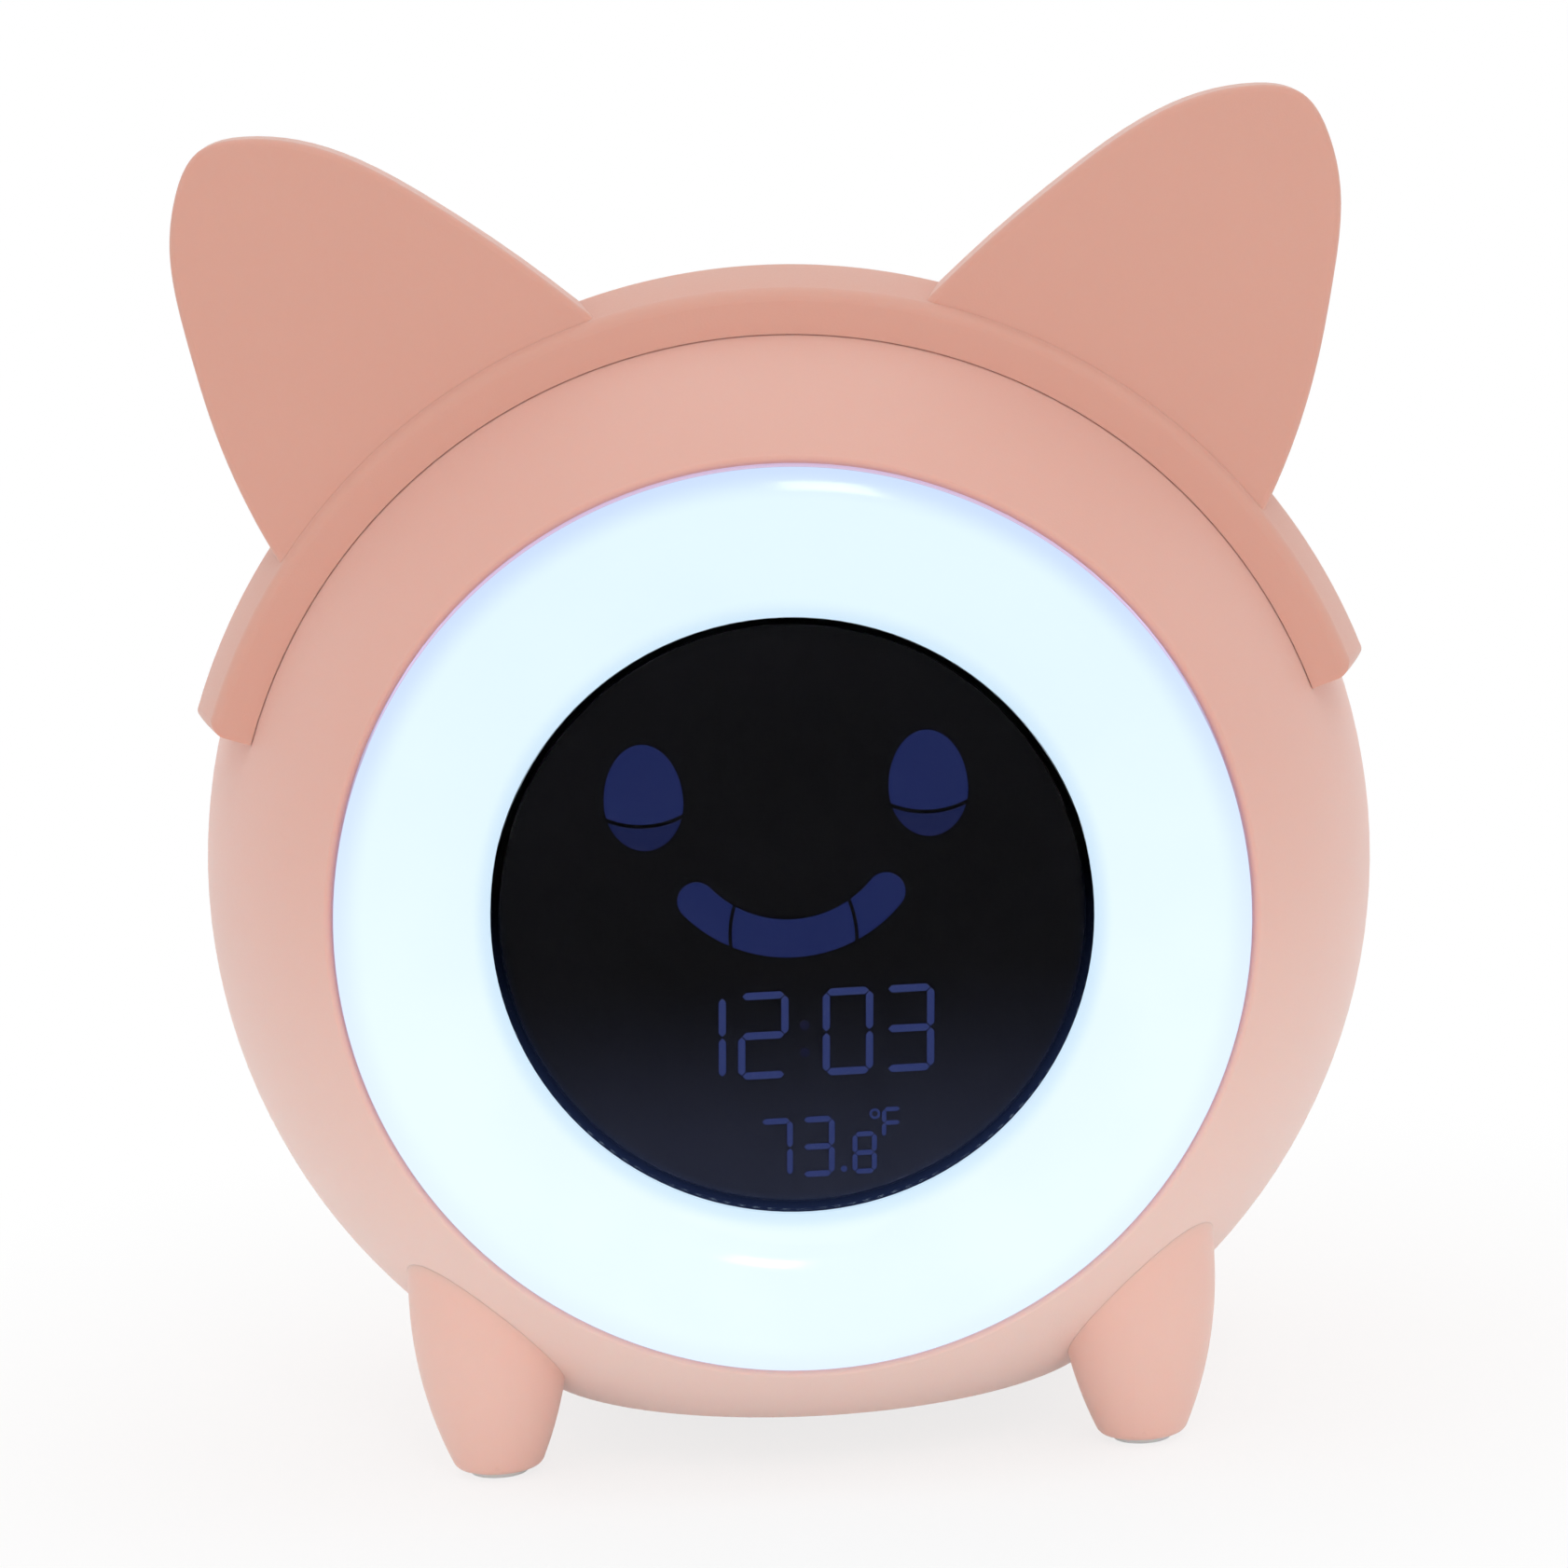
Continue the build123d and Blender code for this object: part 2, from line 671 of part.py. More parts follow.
with BuildPart() as light_ring:
    with BuildSketch(section):
        with BuildLine():
            ThreePointArc(
                (ring_outer_radius, ring_edge),
                (ring_crest_radius, front_depth),
                (ring_inner_radius, bulge(ring_inner_radius, ring_bulge_radius)),
            )
            ThreePointArc(
                (inner_skirt_radius, bulge(inner_skirt_radius, inner_bulge)),
                (ring_crest_radius, ring_centre + inner_bulge),
                (skirt_radius, bulge(skirt_radius, inner_bulge)),
            )
            Polyline(
                (ring_inner_radius, bulge(ring_inner_radius, ring_bulge_radius)),
                (ring_inner_radius, ring_seat - ring_skirt_end),
                (inner_skirt_radius, ring_seat - ring_skirt_end),
                (inner_skirt_radius, bulge(inner_skirt_radius, inner_bulge)),
            )
            Polyline(
                (skirt_radius, bulge(skirt_radius, inner_bulge)),
                (skirt_radius, ring_back),
                (ring_flange_radius, ring_back),
                (ring_flange_radius, ring_seat),
                (ring_outer_radius, ring_seat),
                (ring_outer_radius, ring_edge),
            )
        make_face()
    revolve(axis=spin_axis)
save(light_ring.part, "light_ring")

with BuildPart() as front_lens:
    with BuildSketch(facing(lens_back)):
        Circle(display_radius)
    extrude(amount=lens_thickness)
    chamfer(front_lens.faces().sort_by(Axis.Y)[0].edges(), lens_chamfer)
save(front_lens.part, "front_lens")

# ---------------------------------------------------------------- display frame and what it holds
with BuildPart() as display_frame:
    with BuildSketch(facing(frame_back)):
        Circle(frame_flange_radius)
        with Locations((0, frame_window_height)):
            Rectangle(frame_window_length, frame_window_width, mode=Mode.SUBTRACT)
        with Locations((0, pin_height)):
            Rectangle(pin_count * pin_pitch + 2 * pin_slot_margin, pin_slot_width, mode=Mode.SUBTRACT)
        with PolarLocations(frame_screw_circle, 3, start_angle=frame_screw_angles[0]):
            Circle(small_screw_radius + screw_gap, mode=Mode.SUBTRACT)
    extrude(amount=frame_floor)
    with BuildSketch(facing(frame_front)):
        Circle(display_radius)
        Circle(display_radius - frame_wall, mode=Mode.SUBTRACT)
    extrude(amount=lens_back - frame_front)
    with BuildSketch(facing(board_front)):
        with PolarLocations(frame_post_circle, 3, start_angle=frame_screw_angles[0]):
            Circle(frame_post_radius)
    extrude(amount=frame_post_length)
    with BuildSketch(facing(board_front)):
        with PolarLocations(frame_post_circle, 3, start_angle=frame_screw_angles[0]):
            Circle(small_screw_radius + screw_gap)
    extrude(amount=small_screw_length, mode=Mode.SUBTRACT)
save(display_frame.part, "display_frame")


def stack_plate(back, thickness, flat_top):
    """Round plate inside the display frame; a flat top leaves room for the LCD pins."""
    with BuildPart() as plate:
        with BuildSketch(facing(back)):
            Circle(stack_radius)
            if flat_top:
                with Locations((0, pin_height + stack_radius - pin_flat_gap)):
                    Rectangle(2 * stack_radius, 2 * stack_radius, mode=Mode.SUBTRACT)
        extrude(amount=thickness)
    return plate.part


save(stack_plate(frame_front, backlight_board_thickness, True), "backlight_board")
save(stack_plate(guide_back, light_guide_thickness, True), "light_guide")
save(stack_plate(lcd_back, lcd_thickness, False), "lcd_panel")

with BuildPart() as lcd_pins:
    with BuildSketch(facing(board_front)):
        with Locations((0, pin_height)):
            with GridLocations(pin_pitch, 1, pin_count, 1):
                Circle(pin_radius)
    extrude(amount=lcd_back - board_front)
save(lcd_pins.part, "lcd_pins")

# ---------------------------------------------------------------- display segments
def eye_outline(x):
    """Egg-shaped eye, wider below than above."""
    with BuildLine() as outline:
        EllipticalCenterArc((x, eye_height), eye_half_width, eye_above, start_angle=0, arc_size=180)
        EllipticalCenterArc((x, eye_height), eye_half_width, eye_below, start_angle=180, arc_size=180)
    return outline.line


def lid_arc(x):
    """Middle of the lid line, drawn into the line that is being built."""
    reach = eye_half_width + lid_reach
    end_height = lid_height + lid_rise
    return ThreePointArc((x - reach, end_height), (x, lid_height), (x + reach, end_height))


def lid_gap(x):
    """Cuts the lid line out of the eye that is being built."""
    with BuildLine(mode=Mode.PRIVATE) as line:
        lid_arc(x)
    SlotArc(line.edge(), lid_line, mode=Mode.SUBTRACT)


def below_lid(x):
    """Region under the middle of the lid line."""
    with BuildLine() as region:
        arc = lid_arc(x)
        Polyline(arc @ 1, ((arc @ 1).X, 0), ((arc @ 0).X, 0), arc @ 0)
    return region.line


with BuildPart() as lid_segments:
    with BuildSketch(facing(lcd_front)):
        for x in (-eye_x, eye_x):
            with BuildSketch(mode=Mode.PRIVATE) as eye:
                make_face(eye_outline(x).edges())
                make_face(below_lid(x).edges(), mode=Mode.INTERSECT)
                lid_gap(x)
            add(eye.sketch)
        scale(by=segment_scale)
    extrude(amount=segment_thickness)
save(lid_segments.part, "lid_segments")

with BuildPart() as face_segments:
    with BuildSketch(facing(lcd_front)):
        for x in (-eye_x, eye_x):
            with BuildSketch(mode=Mode.PRIVATE) as eye:
                make_face(eye_outline(x).edges())
                make_face(below_lid(x).edges(), mode=Mode.SUBTRACT)
                lid_gap(x)
            add(eye.sketch)
        with BuildLine(mode=Mode.PRIVATE) as smile:
            left, right = (-mouth_half_width, mouth_corner), (mouth_half_width, mouth_corner)
            ThreePointArc(left, (0, mouth_bottom), right)
        SlotArc(smile.edge(), mouth_band)
        for side in (-1, 1):
            with BuildLine(mode=Mode.PRIVATE) as parting:
                bend = [(side * (mouth_part_x + x), mouth_bottom + rise) for x, rise in mouth_part_bend]
                ThreePointArc(*bend)
            SlotArc(parting.edge(), mouth_part_line, mode=Mode.SUBTRACT)
        scale(by=segment_scale)
    extrude(amount=segment_thickness)
save(face_segments.part, "face_segments")

SEGMENTS = {
    "0": "abcdef",
    "1": "bc",
    "2": "abged",
    "3": "abgcd",
    "7": "abc",
    "8": "abcdefg",
    "F": "aefg",
}


def bar(start, end, width):
    """One segment of a digit: a straight bar with pointed ends, slanted with the digit."""
    along = (Vector(*end) - Vector(*start)).normalized()
    across = Vector(-along.Y, along.X) * (width / 2)
    gap = width * bar_gap
    first = Vector(*start) + along * gap
    last = Vector(*end) - along * gap
    corners = [
        first,
        first + along * (width / 2) + across,
        last - along * (width / 2) + across,
        last,
        last - along * (width / 2) - across,
        first + along * (width / 2) - across,
    ]
    return [(corner.X + digit_slant * corner.Y, corner.Y) for corner in corners]


def digit(character, middle, size, width):
    """Draws one seven-segment character round its middle."""
    right = size[0] / 2 - width / 2
    top = size[1] / 2 - width / 2
    ends = {
        "a": ((-right, top), (right, top)),
        "b": ((right, top), (right, 0)),
        "c": ((right, 0), (right, -top)),
        "d": ((-right, -top), (right, -top)),
        "e": ((-right, 0), (-right, -top)),
        "f": ((-right, top), (-right, 0)),
        "g": ((-right, 0), (right, 0)),
    }
    for name in SEGMENTS[character]:
        with Locations(middle):
            Polygon(*bar(*ends[name], width), align=None)


with BuildPart() as digit_segments:
    with BuildSketch(facing(lcd_front)):
        for character, x in clock_digits:
            digit(character, (x, clock_height), clock_digit_size, clock_bar)
        with Locations(*colon_places):
            Circle(colon_radius)
        for character, x in degree_digits:
            digit(character, (x, degree_height), degree_digit_size, degree_bar)
        with Locations(point_place):
            Circle(point_radius)
        digit("8", tenth_place, tenth_size, tenth_bar)
        with Locations(degree_ring_place):
            Circle(degree_ring_radius)
            Circle(degree_ring_hole, mode=Mode.SUBTRACT)
        digit("F", unit_place, unit_size, unit_bar)
        scale(by=segment_scale)
    extrude(amount=segment_thickness)
save(digit_segments.part, "digit_segments")

# ---------------------------------------------------------------- reflector, LED board and LEDs
def lugs():
    """Screw lugs round the rim of the reflector or the LED board."""
    for angle in ring_screw_angles:
        with Locations(Location((0, 0, 0), angle)):
            with Locations((ring_screw_circle, 0)):
                Circle(lug_radius)
            with Locations(((ring_screw_circle + reflector_outer - lug_overlap) / 2, 0)):
                Rectangle(ring_screw_circle - reflector_outer + lug_overlap, 2 * lug_radius)


with BuildPart() as reflector:
    with BuildSketch(facing(reflector_back)):
        Circle(reflector_outer)
        lugs()
        Circle(reflector_inner, mode=Mode.SUBTRACT)
    extrude(amount=reflector_wall)
    with BuildSketch(facing(reflector_back)):
        Circle(reflector_outer)
        Circle(reflector_outer - reflector_wall, mode=Mode.SUBTRACT)
    extrude(amount=ring_back + reflector_lip - reflector_back)
    with BuildSketch(facing(reflector_back)):
        Circle(reflector_inner + reflector_wall)
        Circle(reflector_inner, mode=Mode.SUBTRACT)
    extrude(amount=ring_back - reflector_back)
    with BuildSketch(facing(ring_back - ring_flange_thickness)):
        Circle(ring_flange_radius - reflector_rim_inset)
        Circle(reflector_outer - reflector_wall, mode=Mode.SUBTRACT)
    extrude(amount=ring_flange_thickness)
    with BuildSketch(facing(reflector_back)):
        with PolarLocations(frame_screw_circle, 3, start_angle=frame_screw_angles[0]):
            Circle(post_radius)
        Circle(reflector_inner, mode=Mode.SUBTRACT)
    extrude(amount=small_screw_length - frame_floor)
    with BuildSketch(facing(reflector_back)):
        with PolarLocations(led_circle, led_count, start_angle=180 / led_count):
            Rectangle(led_size + 2 * led_window_gap, led_size + 2 * led_window_gap)
        with PolarLocations(frame_screw_circle, 3, start_angle=frame_screw_angles[0]):
            Circle(small_screw_radius + screw_gap)
        with Locations(*[polar(ring_screw_circle, angle) for angle in ring_screw_angles]):
            Circle(small_screw_radius + screw_gap)
    extrude(amount=small_screw_length - frame_floor - led_board_thickness + hole_tail, mode=Mode.SUBTRACT)
save(reflector.part, "reflector")

with BuildPart() as led_board:
    with BuildSketch(facing(led_board_back)):
        Circle(reflector_outer)
        lugs()
        Circle(reflector_inner, mode=Mode.SUBTRACT)
        with PolarLocations(frame_screw_circle, 3, start_angle=frame_screw_angles[0]):
            Circle(small_screw_radius + screw_gap, mode=Mode.SUBTRACT)
        with Locations(*[polar(ring_screw_circle, angle) for angle in ring_screw_angles]):
            Circle(small_screw_radius + screw_gap, mode=Mode.SUBTRACT)
    extrude(amount=led_board_thickness)
save(led_board.part, "led_board")

with BuildPart() as ring_leds:
    with BuildSketch(facing(reflector_back)):
        with PolarLocations(led_circle, led_count, start_angle=180 / led_count):
            Rectangle(led_size, led_size)
    extrude(amount=led_thickness)
    with BuildSketch(facing(reflector_back + led_thickness)):
        with PolarLocations(led_circle, led_count, start_angle=180 / led_count):
            Circle(led_lens_radius)
    extrude(amount=-led_lens_depth, mode=Mode.SUBTRACT)
save(ring_leds.part, "ring_leds")

# ---------------------------------------------------------------- main board and its parts
with BuildPart() as main_board:
    with BuildSketch(facing(board_back)):
        Circle(main_board_radius)
        with PolarLocations(frame_post_circle, 3, start_angle=frame_screw_angles[0]):
            Circle(small_screw_radius + screw_gap, mode=Mode.SUBTRACT)
    extrude(amount=board_thickness)
save(main_board.part, "main_board")


def chip(place, size):
    """Flat package with a row of pins along its upper and lower edge."""
    length, width, thickness = size
    row = int(length / chip_pin_pitch) - 1
    with BuildPart() as package:
        with BuildSketch(facing(board_back)):
            with Locations(place):
                Rectangle(length, width)
        extrude(amount=-thickness)
        chamfer(package.faces().sort_by(Axis.Y)[-1].edges(), chip_chamfer)
        with BuildSketch(facing(board_back)):
            with Locations(place):
                with GridLocations(chip_pin_pitch, width + 2 * chip_pin_reach, row, 2):
                    Rectangle(chip_pin_width, chip_pin_length)
        extrude(amount=-chip_pin_thickness)
    return package.part


def can(places, radius, length, rounding):
    """Round cans that stand on the rear of the board."""
    with BuildPart() as cans:
        with BuildSketch(facing(board_back)):
            with Locations(*places):
                Circle(radius)
        extrude(amount=-length)
        fillet(cans.faces().group_by(Axis.Y)[-1].edges(), rounding)
    return cans.part


screw_x, screw_height = polar(frame_post_circle, frame_screw_angles[1])
controller_centre = (screw_x + controller_place[0], screw_height + controller_place[1])
save(chip(controller_centre, controller_size), "controller_chip")
save(chip(sound_place, sound_size), "sound_chip")
save(can(capacitor_places, capacitor_radius, capacitor_length, capacitor_round), "capacitors")
save(can([tap_sensor_place], tap_sensor_radius, tap_sensor_length, tap_sensor_round), "tap_sensor")
save(can([thermistor_place], thermistor_radius, thermistor_length, thermistor_round), "thermistor")

with BuildPart() as lead_sockets:
    with BuildSketch(facing(board_back)):
        with Locations((0, socket_row_height)):
            with GridLocations(socket_spacing, 1, socket_count, 1):
                Rectangle(socket_length, socket_width)
    extrude(amount=-socket_width)
save(lead_sockets.part, "lead_sockets")

# ---------------------------------------------------------------- keys, switches and key board
def key_mark(index):
    """Plain sign sunk into a key, from the row's first key on: ring, minus, plus, bell or moon."""
    if index == 0:
        Circle(mark_span / 2)
        Circle(mark_span / 2 - mark_line, mode=Mode.SUBTRACT)
    elif index == 1:
        Rectangle(mark_span, mark_line)
    elif index == 2:
        Rectangle(mark_span, mark_line)
        Rectangle(mark_line, mark_span)
    elif index == 3:
        with Locations((0, bell_rise)):
            Circle(bell_radius)
        with Locations((0, -bell_rim_drop)):
            Rectangle(mark_span, mark_line)
    else:
        Circle(mark_span / 2)
        with Locations(moon_bite_place):
            Circle(moon_bite_radius, mode=Mode.SUBTRACT)


key_names = ("set_key", "minus_key", "plus_key", "alarm_key", "light_key")
stem_end = panel_inside - key_flange_gap - key_flange_thickness - key_stem_length
for index, name in enumerate(key_names):
    key_x = key_offset - index * key_pitch      # the row runs from left to right, seen from behind
    with BuildPart() as key:
        with BuildSketch(backing(stem_end, key_x, key_row_height)):
            Circle(key_stem_radius)
        extrude(amount=key_stem_length)
        with BuildSketch(backing(stem_end + key_stem_length, key_x, key_row_height)):
            Circle(key_radius + key_flange)
        extrude(amount=key_flange_thickness)
        with BuildSketch(backing(stem_end + key_stem_length, key_x, key_row_height)):
            Circle(key_radius)
        extrude(amount=rear_depth - stem_end - key_stem_length)
        fillet(key.faces().sort_by(Axis.Y)[-1].edges(), key_round)
        with BuildSketch(backing(rear_depth, key_x, key_row_height)):
            key_mark(index)
        extrude(amount=-key_mark_depth, mode=Mode.SUBTRACT)
    save(key.part, name)
    with BuildPart() as plunger:
        with BuildSketch(backing(stem_end - plunger_length, key_x, key_row_height)):
            Circle(plunger_radius)
        extrude(amount=plunger_length)
    save(plunger.part, name.replace("key", "plunger"))

switch_foot = key_board_back + key_board_thickness
with BuildPart() as switch_bodies:
    with BuildSketch(backing(switch_foot, height=key_row_height)):
        with GridLocations(key_pitch, 1, key_count, 1):
            Rectangle(switch_size, switch_size)
    extrude(amount=switch_height)
    with BuildSketch(backing(switch_foot + switch_height, height=key_row_height)):
        with GridLocations(key_pitch, 1, key_count, 1):
            Circle(plunger_radius + plunger_gap)
    extrude(amount=-(plunger_length - plunger_out + key_travel + plunger_floor_gap), mode=Mode.SUBTRACT)
save(switch_bodies.part, "switch_bodies")

with BuildPart() as key_board:
    with BuildSketch(backing(key_board_back, height=key_row_height)):
        RectangleRounded(key_board_length, key_board_width, key_board_round)
        with Locations((-key_post_x, 0), (key_post_x, 0)):
            Circle(small_screw_radius + screw_gap, mode=Mode.SUBTRACT)
    extrude(amount=key_board_thickness)
save(key_board.part, "key_board")

# ---------------------------------------------------------------- speaker
speaker_axis = Axis((0, centre_y, centre_z + speaker_height), (0, 1, 0))
speaker_section = Plane(
    origin=(0, centre_y + speaker_flange_back - speaker_flange, centre_z + speaker_height),
    x_dir=(1, 0, 0),
    z_dir=(0, 0, -1),
)
cone_radius = speaker_radius - speaker_rim

with BuildPart() as speaker_basket:
    with BuildSketch(speaker_section):
        Polygon(
            (cone_radius, -speaker_flange),
            (speaker_radius, -speaker_flange),
            (speaker_radius, 0),
            (cone_radius + speaker_basket_step, 0),
            (magnet_radius + magnet_seat, speaker_basket_depth),
            (speaker_basket_hole, speaker_basket_depth),
            (speaker_basket_hole, speaker_basket_depth - speaker_basket_wall),
            (magnet_radius, speaker_basket_depth - speaker_basket_wall),
            (cone_radius, 0),
            align=None,
        )
    revolve(axis=speaker_axis)
    with BuildSketch(backing(speaker_flange_back - speaker_flange, height=speaker_height)):
        SlotOverall(2 * (speaker_ear_x + post_radius), 2 * post_radius)
        Circle(speaker_radius - speaker_flange / 2, mode=Mode.SUBTRACT)
        with Locations((-speaker_ear_x, 0), (speaker_ear_x, 0)):
            Circle(small_screw_radius + screw_gap, mode=Mode.SUBTRACT)
    extrude(amount=speaker_flange)
save(speaker_basket.part, "speaker_basket")

with BuildPart() as speaker_cone:
    with BuildSketch(speaker_section):
        Polygon(
            (0, speaker_cap_depth - speaker_cap_rise),
            (speaker_cap_radius, speaker_cap_depth),
            (cone_radius, -speaker_cone_edge),
            (cone_radius, -speaker_cap_thickness),
            (speaker_cap_radius, speaker_cap_depth - speaker_cap_thickness),
            (0, speaker_cap_depth - speaker_cap_rise - speaker_cap_thickness),
            align=None,
        )
    revolve(axis=speaker_axis)
save(speaker_cone.part, "speaker_cone")

magnet_level = speaker_basket_depth - speaker_flange_back + speaker_flange
with BuildPart() as speaker_magnet:
    with BuildSketch(facing(magnet_level, height=speaker_height)):
        Circle(magnet_radius)
    extrude(amount=magnet_height)
    fillet(speaker_magnet.faces().sort_by(Axis.Y)[0].edges(), magnet_round)
save(speaker_magnet.part, "speaker_magnet")

with BuildPart() as speaker_gasket:
    with BuildSketch(backing(speaker_flange_back, height=speaker_height)):
        Circle(speaker_radius)
        Circle(speaker_radius - speaker_rim, mode=Mode.SUBTRACT)
        with Locations((-speaker_ear_x, 0), (speaker_ear_x, 0)):
            Circle(post_radius + slip_gap, mode=Mode.SUBTRACT)
    extrude(amount=gasket_thickness)
save(speaker_gasket.part, "speaker_gasket")

# ---------------------------------------------------------------- USB inlet
with BuildPart() as usb_board:
    with BuildSketch(level(usb_board_top, back=usb_board_front)):
        Rectangle(usb_board_width, usb_board_length, align=(Align.CENTER, Align.MIN))
        with Locations((-usb_post_x, usb_post_inset), (usb_post_x, usb_post_inset)):
            Circle(small_screw_radius + screw_gap, mode=Mode.SUBTRACT)
    extrude(amount=-key_board_thickness)
save(usb_board.part, "usb_board")

with BuildPart() as usb_shell:
    with BuildSketch(backing(usb_mouth - usb_length, height=usb_height)):
        RectangleRounded(usb_width, usb_thickness, usb_round)
    extrude(amount=usb_length)
    with BuildSketch(backing(usb_mouth - usb_length + usb_shell_wall, height=usb_height)):
        RectangleRounded(
            usb_width - 2 * usb_shell_wall,
            usb_thickness - 2 * usb_shell_wall,
            usb_round - usb_shell_wall,
        )
    extrude(amount=usb_length, mode=Mode.SUBTRACT)
save(usb_shell.part, "usb_shell")

with BuildPart() as usb_tongue:
    with BuildSketch(backing(usb_mouth - usb_length + usb_shell_wall, height=usb_height)):
        RectangleRounded(usb_tongue_width, usb_tongue_thickness, usb_tongue_round)
    extrude(amount=usb_length - usb_shell_wall - usb_tongue_inset)
save(usb_tongue.part, "usb_tongue")

# ---------------------------------------------------------------- cell and strap
with BuildPart() as cell:
    with Locations(Location((0, centre_y + cell_back, centre_z + cell_height), (0, 90, 0))):
        Cylinder(cell_radius, cell_length)
    fillet(cell.edges().filter_by(GeomType.CIRCLE), cell_round)
    with Locations(Location((cell_length / 2, centre_y + cell_back, centre_z + cell_height), (0, 90, 0))):
        Cylinder(cell_nub_radius, cell_nub, align=(Align.CENTER, Align.CENTER, Align.MIN))
save(cell.part, "cell")

strap_plane = Plane(
    origin=(-strap_width / 2, centre_y + cell_back, centre_z + cell_height),
    x_dir=(0, 1, 0),
    z_dir=(1, 0, 0),
)
foot_level = rib_top - cell_height
with BuildPart() as cell_strap:
    with BuildSketch(strap_plane):
        Circle(strap_outer)
        with Locations((0, foot_level - strap_outer)):
            Rectangle(4 * strap_outer, 2 * strap_outer, mode=Mode.SUBTRACT)
        with Locations((0, foot_level + strap_thickness / 2)):
            Rectangle(2 * strap_reach, strap_thickness)
        Circle(strap_inner, mode=Mode.SUBTRACT)
    extrude(amount=strap_width)
    with BuildSketch(level(rib_top, back=cell_back)):
        with Locations((0, -strap_screw_place), (0, strap_screw_place)):
            Circle(small_screw_radius + screw_gap)
    extrude(amount=strap_thickness, mode=Mode.SUBTRACT)
save(cell_strap.part, "cell_strap")

# ---------------------------------------------------------------- legs and foot pads
leg_bottom = -centre_z + pad_thickness
leg_taper = leg_taper_height - centre_z
for name, sx, sy in (
    ("leg_front_left", -1, -1),
    ("leg_front_right", 1, -1),
    ("leg_rear_left", -1, 1),
    ("leg_rear_right", 1, 1),
):
    leg_section = Plane(
        origin=(sx * leg_x, centre_y + sy * leg_y, centre_z),
        x_dir=(1, 0, 0),
        z_dir=(0, -1, 0),
    )
    with BuildPart() as leg:
        with BuildSketch(leg_section):
            with BuildLine():
                TangentArc((leg_radius, leg_taper), (leg_tip_radius, leg_bottom), tangent=(0, -1))
                Polyline(
                    (leg_tip_radius, leg_bottom),
                    (0, leg_bottom),
                    (0, 0),
                    (leg_radius, 0),
                    (leg_radius, leg_taper),
                )
            make_face()
        revolve(axis=Axis(leg_section.origin, (0, 0, 1)))
        fillet(leg.faces().sort_by(Axis.Z)[0].edges(), leg_tip_round)
        add(outer_ball, mode=Mode.SUBTRACT)
        with BuildSketch(Plane(origin=leg_section.origin)):
            Circle(case_screw_radius + screw_gap)
        extrude(amount=-leg_boss_level - leg_screw_length - leg_hole_tail, mode=Mode.SUBTRACT)
    save(leg.part, name)

with BuildPart() as foot_pads:
    with BuildSketch(Plane.XY):
        for sx in (-1, 1):
            for sy in (-1, 1):
                with Locations((sx * leg_x, centre_y + sy * leg_y)):
                    Circle(pad_radius)
    extrude(amount=pad_thickness)
    fillet(foot_pads.edges().filter_by(GeomType.CIRCLE).group_by(Axis.Z)[0], pad_round)
save(foot_pads.part, "foot_pads")

# ---------------------------------------------------------------- headband with its two ears
ear_foot_radius = sqrt((ball_radius + band_gap + band_thickness) ** 2 - ear_front ** 2) - ear_root_inset
ear_foot_angle = degrees(asin(ear_foot_half_width / ear_foot_radius))


def ear(side):
    """One ear plate; its foot ends inside the band."""
    inner_foot = Vector(*polar(ear_foot_radius, ear_angle + ear_foot_angle))
    outer_foot = Vector(*polar(ear_foot_radius, ear_angle - ear_foot_angle))
    outwards = Vector(*polar(1, ear_angle))
    across = Vector(outwards.Y, -outwards.X)
    foot_middle = outwards * ear_foot_radius
    rim = [foot_middle + across * step + outwards * rise for step, rise in ear_outline]
    edge = [(side * point.X, point.Y) for point in (inner_foot, *rim, outer_foot)]
    with BuildPart() as plate:
        with BuildSketch(facing(ear_front - ear_thickness)):
            with BuildLine():
                Spline(*edge)
                ThreePointArc(edge[-1], (side * foot_middle.X, foot_middle.Y), edge[0])
            make_face()
        extrude(amount=ear_thickness)
        for place, rounding in ((-1, ear_rear_round), (0, ear_round)):
            fillet(plate.edges().filter_by(GeomType.BSPLINE).sort_by(Axis.Y)[place], rounding)
    return plate.part


with BuildPart() as band_ball:
    with Locations(centre):
        Sphere(ball_radius + band_gap + band_thickness)
        Sphere(ball_radius + band_gap, mode=Mode.SUBTRACT)
    split(bisect_by=facing(band_front), keep=Keep.BOTTOM)
    split(bisect_by=facing(band_front - band_length), keep=Keep.TOP)
    with BuildSketch(facing(0)):
        reach = 2 * body_diameter
        end = polar(reach, band_end_angle)
        Polygon((0, 0), end, (end[0], reach), (-end[0], reach), (-end[0], end[1]), align=None)
    extrude(amount=ball_radius, mode=Mode.INTERSECT)
    flat_faces = band_ball.faces().filter_by(GeomType.PLANE)
    rims = [face.edges().filter_by(GeomType.CIRCLE).sort_by(SortBy.RADIUS)[-1] for face in flat_faces]
    fillet(rims, band_round)

with BuildPart() as ear_band:
    add(band_ball.part)
    for side in (-1, 1):
        add(ear(side))
    with BuildSketch(level(peg_foot - peg_length, back=peg_back)):
        with Locations((-peg_x, 0), (peg_x, 0)):
            Circle(peg_radius)
    extrude(amount=peg_length + peg_root)
save(ear_band.part, "ear_band")

# ---------------------------------------------------------------- screws
def small_screw(plane):
    return screw(plane, small_screw_radius, small_screw_length, small_head_radius, small_head_height)


def group(parts):
    """Several pieces as one node."""
    with BuildPart() as pieces:
        for part in parts:
            add(part)
    return pieces.part


case_screws = group(
    screw(
        backing(case_screw_seat, x, height),
        case_screw_radius,
        case_screw_length,
        case_head_radius,
        case_head_height,
    )
    for x, height in case_points
)
save(case_screws, "case_screws")

